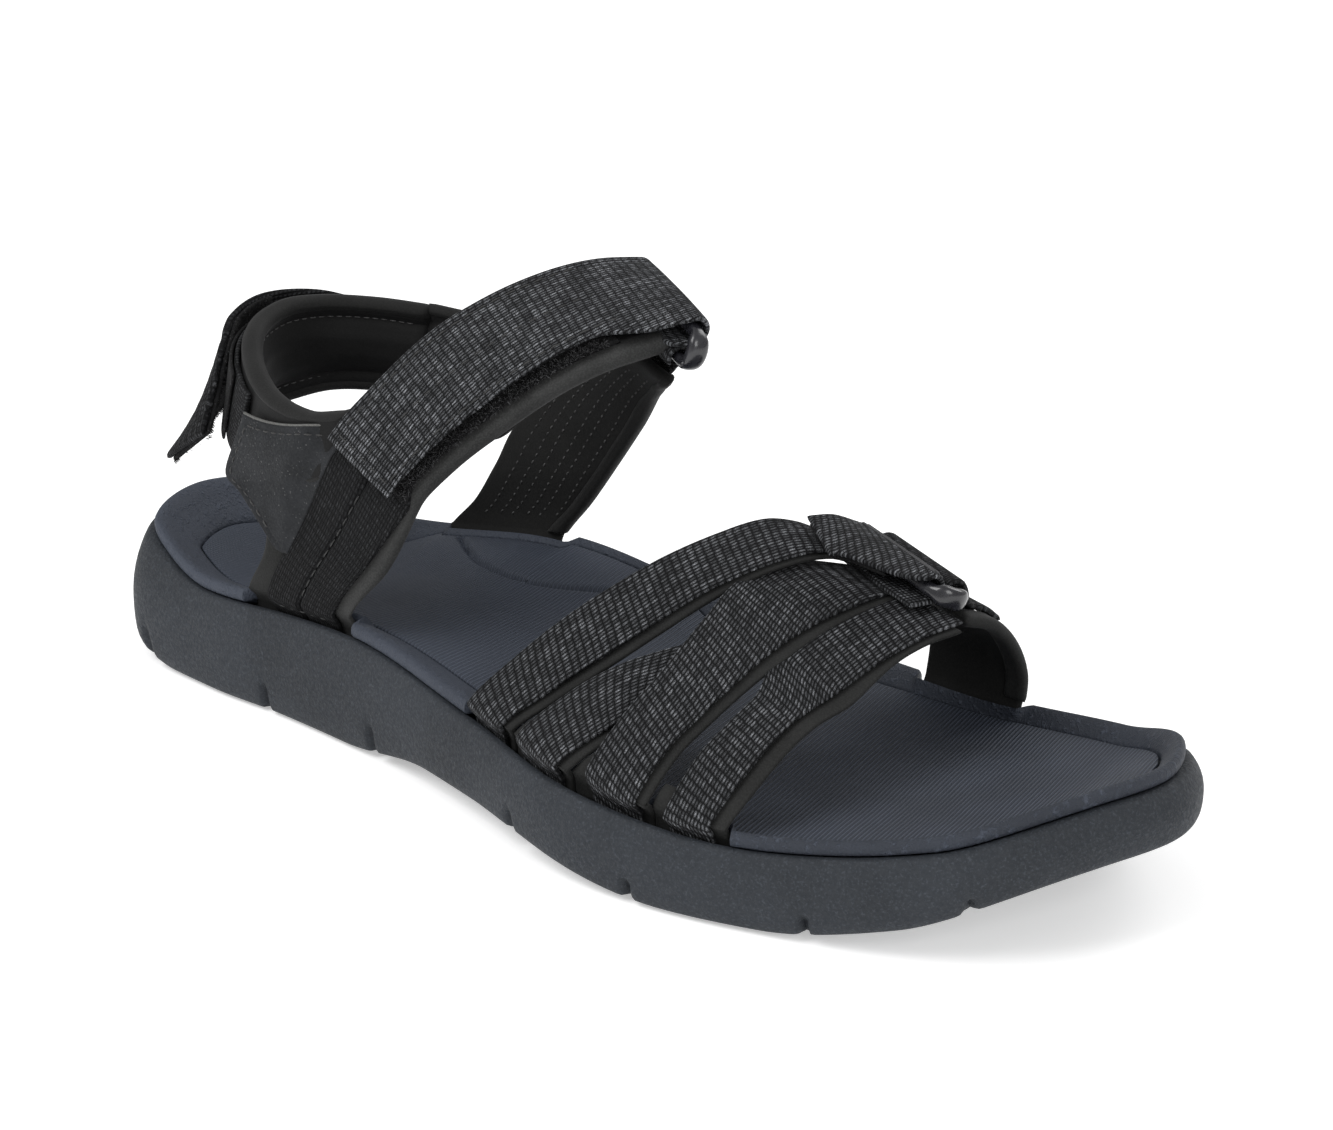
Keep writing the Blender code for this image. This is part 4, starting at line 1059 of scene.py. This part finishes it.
def build_instep_strap():
    bars = INSTEP_RING
    base = RISER
    edge = lambda u: lerp(1.0, 0.885, smooth((u - FLAP_START + 0.02) / 0.09))
    strap("instep_riser", base, (0, 0.955), lambda u: (0, edge(u)), WEBBING, "riser", lift=sink,
          profile=both(crown(0.25), stitch_dents([0.5], 0.85, 0.55)),
          replaces=["instep_base_webbing"])
    strap("instep_loop_pile", base, (FLAP_START + 0.008, 0.95), lambda u: (0.03, edge(u)), 1.2,
          "pile", lift=lambda u: sink(u) + 1.1, replaces=["instep_loop_tape"])

    flap = folded(bars, INSTEP_REAR, INSTEP_FRONT)
    end, join = flap.rear.s[2], flap.rear.s[8]
    brim = lambda u: 0.83 + 0.17 * smooth((u - 0.765) / 0.11)
    square = lambda d, w, u, v, width: -0.3 * np.exp(-((d - 3.2) / 0.5) ** 2)
    strap("instep_flap", flap, (end, join), lambda u: (0, brim(u)), FOLD, "webbing",
          "instep_closure", step=1.0, across=1.0, round_ends=(True, False),
          profile=both(crown(0.3), stitch_dents([0.085, 0.52, 0.93]), square),
          replaces=["instep_closure_strap"])
    strap("instep_flap_hooks", flap, (end + 0.012, 0.79), (0.025, 0.8), 0.95, "pile",
          "instep_closure", lift=-WEBBING - 0.3, replaces=["instep_hook_tape"])
    tails = [[base.point(u, v, float(sink(u)) - WEBBING) for u in (0.965, 0.945, 0.925)]
             for v in (0.0, 1.0)]
    add_fold("instep_fold", bars, flap, join, tails, lambda *arc: np.interp(end, *arc), 0.8,
             "webbing", "instep_closure", lambda u: (0, 1 - 0.3 * smooth((u - 0.52) / 0.22)),
             step=0.7, across=1.0)

    pad_side = lambda u: (lerp(0.55, -0.06, smooth((u - 0.37) / 0.12)),
                          lerp(1.19, 1.0, smooth((u - 0.24) / 0.28)))
    taper = lambda u: lerp(0.28, 1.0, smooth((u - 0.12) / 0.15))
    roll = lambda d, w, u, v, width: (1.15 * smooth((6.0 - (width - w)) / 2.2)
                                      * smooth((u - FLAP_START + 0.05) / 0.1))
    pad = strap("instep_cushion", base, (0, 1.02), pad_side, 3.2, "cushion",
                lift=lambda u: sink(u) - WEBBING - 0.1, taper=taper, step=1.5, across=1.0,
                profile=roll, replaces=["instep_pad"])
    lines = []
    for v in (0.085, 0.43, 0.76):
        lines.append(face_path(flap, (end + 0.025, 0.83), (v, v), -0.12))
    lines.append(face_path(flap, (end + 0.021, end + 0.021), (0.05, 0.78), -0.18))
    stitches("instep_flap_stitches", lines, MAT["thread"], "instep_closure", radius=0.22)
    seam_line = face_path(base, (0.13, 0.40), (0.5, 0.5), lambda u: sink(u) - 0.25)
    bar = face_path(base, (0.095, 0.095), (0.08, 0.92), -0.05)
    stitches("instep_riser_stitches", [seam_line, bar], MAT["thread"], radius=0.2)
    rng = random.Random(5)
    for part, count, material, long in (("dark", 1700, MAT["pile"], 1.1),
                                        ("pale", 900, MAT["loops"], 0.9)):
        us = np.array([rng.uniform(FLAP_START + 0.012, 0.93) for _ in range(count)])
        vs = np.array([rng.uniform(0.82, 0.9) for _ in us])
        p, n = base.surface(us, vs[:, None])
        out = n[:, 0] + unit(base.front(us) - base.rear(us)) * smooth((vs - 0.8) / 0.1)[:, None]
        fibres("instep_fibres_" + part, p[:, 0] + n[:, 0] * (sink(us) + 0.95)[:, None], unit(out),
               material, long, 0.08, 1.3, count)


# ------------------------------------------------------------ lateral side
class Bent(Band):
    """A band moved off its ruled surface by bend(u, v, normals)."""

    def __init__(self, rear, front, bend):
        super().__init__(rear, front)
        self.bend = bend

    def surface(self, u, v):
        points, normals = super().surface(u, v)
        return points + self.bend(u[:, None], v, normals), normals


def overlay_bend(u, v, normals):
    """Sinks the front edge on to the riser and hollows the top edge."""
    deep = (sink(lerp(OVERLAY_LOW, OVERLAY_HIGH, u)) - 0.35) * smooth((v - 0.66) / 0.28)
    hollow = -1.9 * smooth((u - 0.45) / 0.5) * np.sin(np.pi * np.clip(v, 0, 1) ** 0.8)
    return normals * deep[..., None] + np.array((0.25, 0.0, 1.0)) * hollow[..., None]


OVERLAY_LOW = lerp(RISER.rear.s[4], RISER.rear.s[5], 0.58)
OVERLAY_HIGH = lerp(RISER.rear.s[6], RISER.rear.s[7], 0.25)
OVERLAY = Bent(
    [(57.5, -31.4, 41), (46.8, -30.4, 50.6), (38.8, -27.8, 53.5), (41.8, -27.8, 61.5),
     (46.2, -28.3, 69.8)],
    [tuple(RISER.point(lerp(OVERLAY_LOW, OVERLAY_HIGH, k / 5), 0.075 - 0.014 * k))
     for k in range(6)], overlay_bend)


def tube(name, path, normals, width, height, material, body=ROOT):
    """A rounded strip swept along a path, `width` across and `height` off the face."""
    tangent = unit(np.gradient(path, axis=0))
    side = unit(np.cross(tangent, normals))
    up = np.cross(side, tangent)
    n, sides = len(path), 12
    a = np.arange(sides) * 2 * math.pi / sides
    s = np.concatenate([[0.0], np.cumsum(np.linalg.norm(np.diff(path, axis=0), axis=1))])
    cut = np.minimum(ease(s, width / 2), ease(s[-1] - s, width / 2))[:, None]
    points = (path[:, None] + side[:, None] * (np.cos(a)[None] * cut * width / 2)[..., None]
              + up[:, None] * (np.sin(a)[None] * cut * height / 2)[..., None])
    uv = np.stack(np.broadcast_arrays(s[:, None], a[None] * width / 2), -1).reshape(-1, 2)
    build(name, points.reshape(-1, 3), capped(n, sides), material, body, (), uv, 70)


def build_lateral_quarter():
    lining = Band(
        lasted([(44, -29.4, 27), (50.5, -30.8, 37), (51.5, -30.6, 45), (47, -29.2, 52)]),
        lasted([(58, -29.9, 28.5), (65, -29.2, 39), (70, -27.8, 48), (72, -26.6, 55)]))
    taper = lambda u: lerp(0.35, 1.0, smooth((u - 0.4) / 0.3))
    quarter = strap("lateral_quarter", lining, (0, 0.985), (0, 0.98), 2.4, "lining",
                    lift=-WEBBING - 0.4, taper=taper, replaces=["lateral_quarter_lining"])
    strap("lateral_microfibre", OVERLAY, (0, 1), (0, 1), LINING, "overlay",
          lift=0.6, step=0.9, across=0.9, replaces=["lateral_overlay"],
          profile=lambda d, w, u, v, width: (-0.22 * np.exp(-((w - 2.4) / 0.45) ** 2)
                                             - 0.22 * np.exp(-((u - 0.935) / 0.012) ** 2)))
    top, up = face_path(OVERLAY, (1.0, 1.0), (0.0, 1.0), 0.35, 80)
    tube("lateral_cut_edge", top, up, 0.55, 0.75, MAT["cut_edge"])
    v_at = lambda u, mm: mm / np.linalg.norm(OVERLAY.front(u) - OVERLAY.rear(u), axis=1)
    us = np.linspace(0.14, 0.93, 200)
    p, n = OVERLAY.surface(us, v_at(us, 2.4)[:, None])
    rear_line = (p[:, 0] + n[:, 0] * 0.5, n[:, 0])
    top_line = face_path(OVERLAY, (0.935, 0.935), (0.07, 0.93), 0.5)
    stitches("lateral_stitches", [rear_line, top_line], MAT["thread"], radius=0.24,
             length=1.9, gap=1.0)


# -------------------------------------------------------------------- heel
COLLAR_TOP = [(75.5, -29.4, 75.6), (66, -29.8, 73.7), (53, -27.8, 74.8), (41, -22.0, 78.0),
              (31, -13.5, 81.5), (25, -4, 83.5), (23.5, 6, 84.5), (27, 16, 84), (36, 25, 83),
              (47.5, 31, 82)]
COLLAR_LOW = [(66.5, -30.1, 57.8), (60, -29.9, 57.2), (52.5, -28.9, 55.8), (40, -24.4, 54.4),
              (30, -18.0, 55.5), (22.5, -9, 57.5), (19.5, 1, 59), (21.5, 10, 60),
              (26.5, 18, 61), (35, 25.5, 60.6), (45.5, 31, 59.2)]
HEEL_OUT = WEBBING + GAP


def cushion(border, dent=0.9, swell=1.3):
    """A padded face: a sewn line `border` mm inside the edges, and a swollen middle."""
    def profile(d, w, u, v, width):
        near = np.minimum(w, width - w)
        line = dent * np.exp(-((near - border) / 0.8) ** 2)
        return line - swell * smooth((near - border - 0.6) / 4.5)
    return profile


def build_heel():
    collar = Band(COLLAR_LOW, COLLAR_TOP)
    whole = Band([(71.8, -30.6, 59.8)] + COLLAR_LOW, [(80.0, -28.8, 77.2)] + COLLAR_TOP)
    pad = strap("heel_collar", whole, (0, 1.004), (0, 1), 4.2, "collar", step=1.0,
                across=0.8, back=cushion(4.6), replaces=["heel_collar_pad"])
    for name, low, high in (("top", 0.84, 1.012), ("bottom", -0.012, 0.13)):
        strap("heel_collar_rim_" + name, whole, (0.0, 1.004), (low, high), 4.9, "binding",
              lift=0.25, across=0.6)
    strap("heel_band", collar, (0.27, 0.985), (0.1, 0.86), WEBBING, "heel",
          lift=HEEL_OUT, replaces=["heel_webbing"], profile=crown(0.2))
    strap("heel_loop_pile", collar, (0.36, 0.6), (0.12, 0.84), HOOK, "pile",
          lift=HEEL_OUT + GAP + HOOK, replaces=["heel_loop_tape"])
    lines = [face_path(whole, (0.06, 0.98), (v, v), -3.55) for v in (0.8, 0.17)]
    stitches("heel_collar_stitches", [(path, -normal) for path, normal in lines],
             MAT["grey_thread"], radius=0.16, length=1.3, gap=0.8)

    tab = Band(
        [(31, 26.5, 60), (20, 18, 60), (13.2, 6, 60), (11.5, -4, 59), (12.0, -11.5, 56.8),
         (12.0, -18, 53.8), (12.5, -23, 50.8)],
        [(34, 28.5, 80), (23.5, 18, 84), (18.2, 5, 85.2), (19.0, -6, 83), (24, -15, 77),
         (27.8, -22, 68.5), (29.5, -27, 60.8)], -1)
    ragged = lambda u: (0.012 * np.sin(u * 83) * smooth((u - 0.5) / 0.3),
                        1 - 0.014 * (1 + np.sin(u * 117 + np.sin(u * 41) * 2))
                        * smooth((u - 0.6) / 0.2))
    root = np.array((32.5, 27.5, 70.0))
    turn = (root, root + np.array((-0.35, -0.94, 0.0)) * 8)
    strap("heel_tab", tab, (0, 1), ragged, WEBBING + 0.3, "heel", "heel_closure",
          step=0.9, across=0.9, replaces=["heel_closure_tab"], blend=turn,
          profile=both(crown(0.2), lambda d, w, u, v, width: 0.22 * np.sin(w * 1.9) * v))
    strap("heel_tab_hooks", tab, (0.42, 0.99), (0.02, 0.98), 1.2, "pile",
          "heel_closure", lift=-WEBBING - 0.35, replaces=["heel_hook_tape"])
    rng = random.Random(9)
    us = np.array([rng.uniform(0.44, 1.0) for _ in range(1300)])
    vs = np.array([rng.choice((rng.uniform(0.9, 1.0), rng.uniform(0.0, 0.08), rng.random()))
                   for _ in us])
    p, n = tab.surface(us, vs[:, None])
    fibres("heel_hook_fibres", p[:, 0] - n[:, 0] * 2.6, -n[:, 0], MAT["pile"], 0.8, 0.07, 1.2, 4,
           "heel_closure")


# ------------------------------------------------------------- medial side
def build_medial_quarter():
    rear = [(54, 31.6, 29), (62, 32.5, 38), (68, 33.3, 47), (73, 34, 56), (85, 34.2, 69),
            (99, 31.8, 80), (109.5, 27.5, 87.5)]
    front = [(89, 32.0, 34.5), (96, 33, 44), (105, 32.5, 56.5), (113, 30.5, 67),
             (121.2, 26.2, 77), (128, 21.0, 82.6), (134, 15.8, 85.6)]
    band = Band(lasted(rear), lasted(front), -1)
    taper = lambda u: lerp(0.33, 1.0, smooth((u - 0.2) / 0.2))
    quarter = strap("medial_quarter", band, (0, 1), (0, 1), 2.8, "inner",
                    lift=-HEEL_OUT + 0.2, taper=taper, replaces=["medial_quarter_lining"])
    strap("medial_riser", band, (0, 0.96), (0.12, 0.9), WEBBING, "riser",
          profile=both(crown(0.25), stitch_dents([0.5], 0.4)),
          replaces=["medial_quarter_webbing"])
    strap("medial_quarter_binding", band, (0.14, 1.0), (0.88, 1.03), 3.9, "binding",
          lift=-0.9, across=0.6)
    rows = []
    for v in (0.2, 0.33, 0.44, 0.57, 0.68, 0.82):
        path, normal = face_path(band, (0.2, 0.93), (v, v),
                                 lambda u: -HEEL_OUT + 0.2 - 2.8 * taper(u))
        rows.append((path, -normal))
    stitches("medial_quarter_stitches", rows, MAT["grey_thread"], radius=0.21,
             length=1.0, gap=1.3)
    panel = Band(
        [(46.4, 31.2, 59.0), (55, 32.8, 55), (63, 33.6, 51.5), (70.5, 34.3, 55.5),
         (83.5, 34.5, 69.5), (96, 32.6, 80)],
        [(48.6, 31.2, 82), (58, 33, 81.4), (70, 33.6, 81.5), (84, 33.4, 83), (96, 31.5, 85.5),
         (106, 28.5, 88)])
    pad = strap("medial_collar", panel, (-0.014, 0.965), (0, 1), 2.8, "collar",
                back=cushion(3.6, 0.6, 0.8), across=0.9, replaces=["medial_collar_panel"])
    strap("medial_collar_rim", panel, (-0.014, 0.96), (0.9, 1.015), 3.6, "binding",
          lift=0.25, across=0.6)
    strap("medial_heel_band", panel, (0, 0.62), (0.18, 0.86), WEBBING, "heel",
          lift=HEEL_OUT, replaces=["medial_heel_webbing"], profile=crown(0.2))
    add_keeper("instep_keeper", INSTEP_RING, band, 0.8, "instep_ring_keeper", 0.96, 2.1)


def build_forefoot_closure():
    bars = FOREFOOT_RING
    tab = folded(bars, [(170.0, 13.5, 62.9), (172.5, 19, 62.2)],
                 [(196, -3.0, 52.5), (199.5, 5, 56.0)])
    join = max(tab.rear.s[2], tab.front.s[2])
    corner = lambda u: lerp(0.41, 1.0, smooth((u - 0.02) / (join * 0.9)))
    strap("forefoot_tab", tab, (0, join), lambda u: (0, corner(u)), FOLD, "narrow",
          "forefoot_closure", step=0.8, across=0.9, round_ends=(True, False),
          profile=crown(0.3), replaces=["forefoot_closure_tab"])
    strap("forefoot_tab_hooks", tab, (0.03, 0.36),
          lambda u: (0.03, corner(u) - 0.03), HOOK + 0.3, "pile", "forefoot_closure",
           lift=-WEBBING - 0.25, replaces=["forefoot_hook_tape"])
    tails = [[bars.around(bars.strap, along, WRAP_RADIUS, FOLD_TURNS[-1]) - bars.out * k * 1.6
              for k in (1, 2, 3)] for along in (-bars.half, bars.half)]
    add_fold("forefoot_fold", bars, tab, join, tails, lambda *arc: 0.0, FOLD_ABOVE, "fold",
             "forefoot_closure", step=0.6, across=0.9)
    # painted highlight: three raised ridges along the fold whose pale colour stands in for light
    # catching the webbing's ribs where it curves round the bar
    for k, angle in enumerate((28, 50, 72)):
        path = np.array([bars.around(bars.strap, t, WRAP_RADIUS + 0.02, angle)
                         for t in np.linspace(-bars.half + 1, bars.half - 1, 40)])
        tube("forefoot_ridge_%d" % (k + 1), path, np.array([bars.spoke(angle)] * len(path)), 0.5,
             0.5, MAT["loops"], "forefoot_closure")
    anchor = Band(
        lasted([(181, 44.4, 20.5), (181, 45.6, 30), (180, 43.4, 38), (179, 38.5, 44),
                (178, 33, 47.5)]),
        lasted([(206, 43.6, 20.5), (206.5, 43.0, 28), (206, 38.8, 36), (205, 32.4, 42),
                (203, 23.8, 45.2)]), -1)
    strap("forefoot_anchor", anchor, (0, 1), (0, 1), 1.8, "inner",
          replaces=["forefoot_anchor_lining"])
    strap("forefoot_anchor_binding", anchor, (0.3, 1.0), (0.82, 1.03), 2.8, "lining",
          lift=0.4, across=0.5)
    add_keeper("forefoot_keeper", bars, anchor, 0.7, "forefoot_ring_keeper")


# -------------------------------------------------------------------- stage
AZIMUTH, ELEVATION, DISTANCE = math.radians(39.895), math.radians(21.228), 0.65
LENS, SHIFT_X, SHIFT_Y = 81.78, 0.0363, 0.0186


def add_camera():
    back = Vector((math.sin(AZIMUTH) * math.cos(ELEVATION),
                   -math.cos(AZIMUTH) * math.cos(ELEVATION), math.sin(ELEVATION)))
    camera = bpy.data.objects.new("camera", bpy.data.cameras.new("camera"))
    camera.data.lens = LENS
    camera.data.sensor_width = 36.0
    camera.data.shift_x, camera.data.shift_y = SHIFT_X, SHIFT_Y
    camera.data.clip_start, camera.data.clip_end = 0.01, 50
    camera.location = Vector(place((130, 0, 40))) + back * DISTANCE
    camera.rotation_euler = back.to_track_quat("Z", "Y").to_euler()
    bpy.context.scene.collection.objects.link(camera)
    bpy.context.scene.camera = camera


def add_light(name, location, size, power):
    lamp = bpy.data.lights.new(name, "AREA")
    lamp.shape, lamp.size, lamp.energy = "SQUARE", size, power
    obj = bpy.data.objects.new(name, lamp)
    obj.location = location
    obj.rotation_euler = (Vector(location) - Vector((0, 0, 0.04))).to_track_quat("Z", "Y").to_euler()
    bpy.context.scene.collection.objects.link(obj)


def add_stage():
    size, level = 6.0, -0.0004
    corners = [(-size, -size), (size, -size), (size, size), (-size, size)]
    mesh = bpy.data.meshes.new("floor")
    mesh.from_pydata([(x, y, level) for x, y in corners], [], [[0, 1, 2, 3]])
    mesh.materials.append(floor_material("pale_floor"))
    floor = bpy.data.objects.new("floor", mesh)
    bpy.context.scene.collection.objects.link(floor)
    world = bpy.data.worlds.new("studio")
    world.use_nodes = True
    glow = world.node_tree.nodes["Background"].inputs
    glow["Color"].default_value, glow["Strength"].default_value = (1, 1, 1, 1), 0.47
    bpy.context.scene.world = world
    add_light("key", (-0.5, -0.9, 1.2), 0.9, 13)
    add_light("right", (1.1, -0.5, 0.7), 0.6, 5.5)
    add_light("back", (0.2, 1.1, 0.9), 0.8, 6)
    scene = bpy.context.scene
    scene.view_settings.view_transform = "Standard"
    scene.view_settings.look = "None"


build_outsole()
build_midsole()
build_footbed()
build_forefoot_straps()
build_gussets()
build_ring("forefoot_loop", FOREFOOT_RING, "forefoot_ring_body", "forefoot_ring")
build_forefoot_closure()
build_instep_strap()
build_ring("instep_loop", INSTEP_RING, "instep_ring_body", "instep_ring")
build_lateral_quarter()
build_heel()
build_medial_quarter()
add_camera()
add_stage()
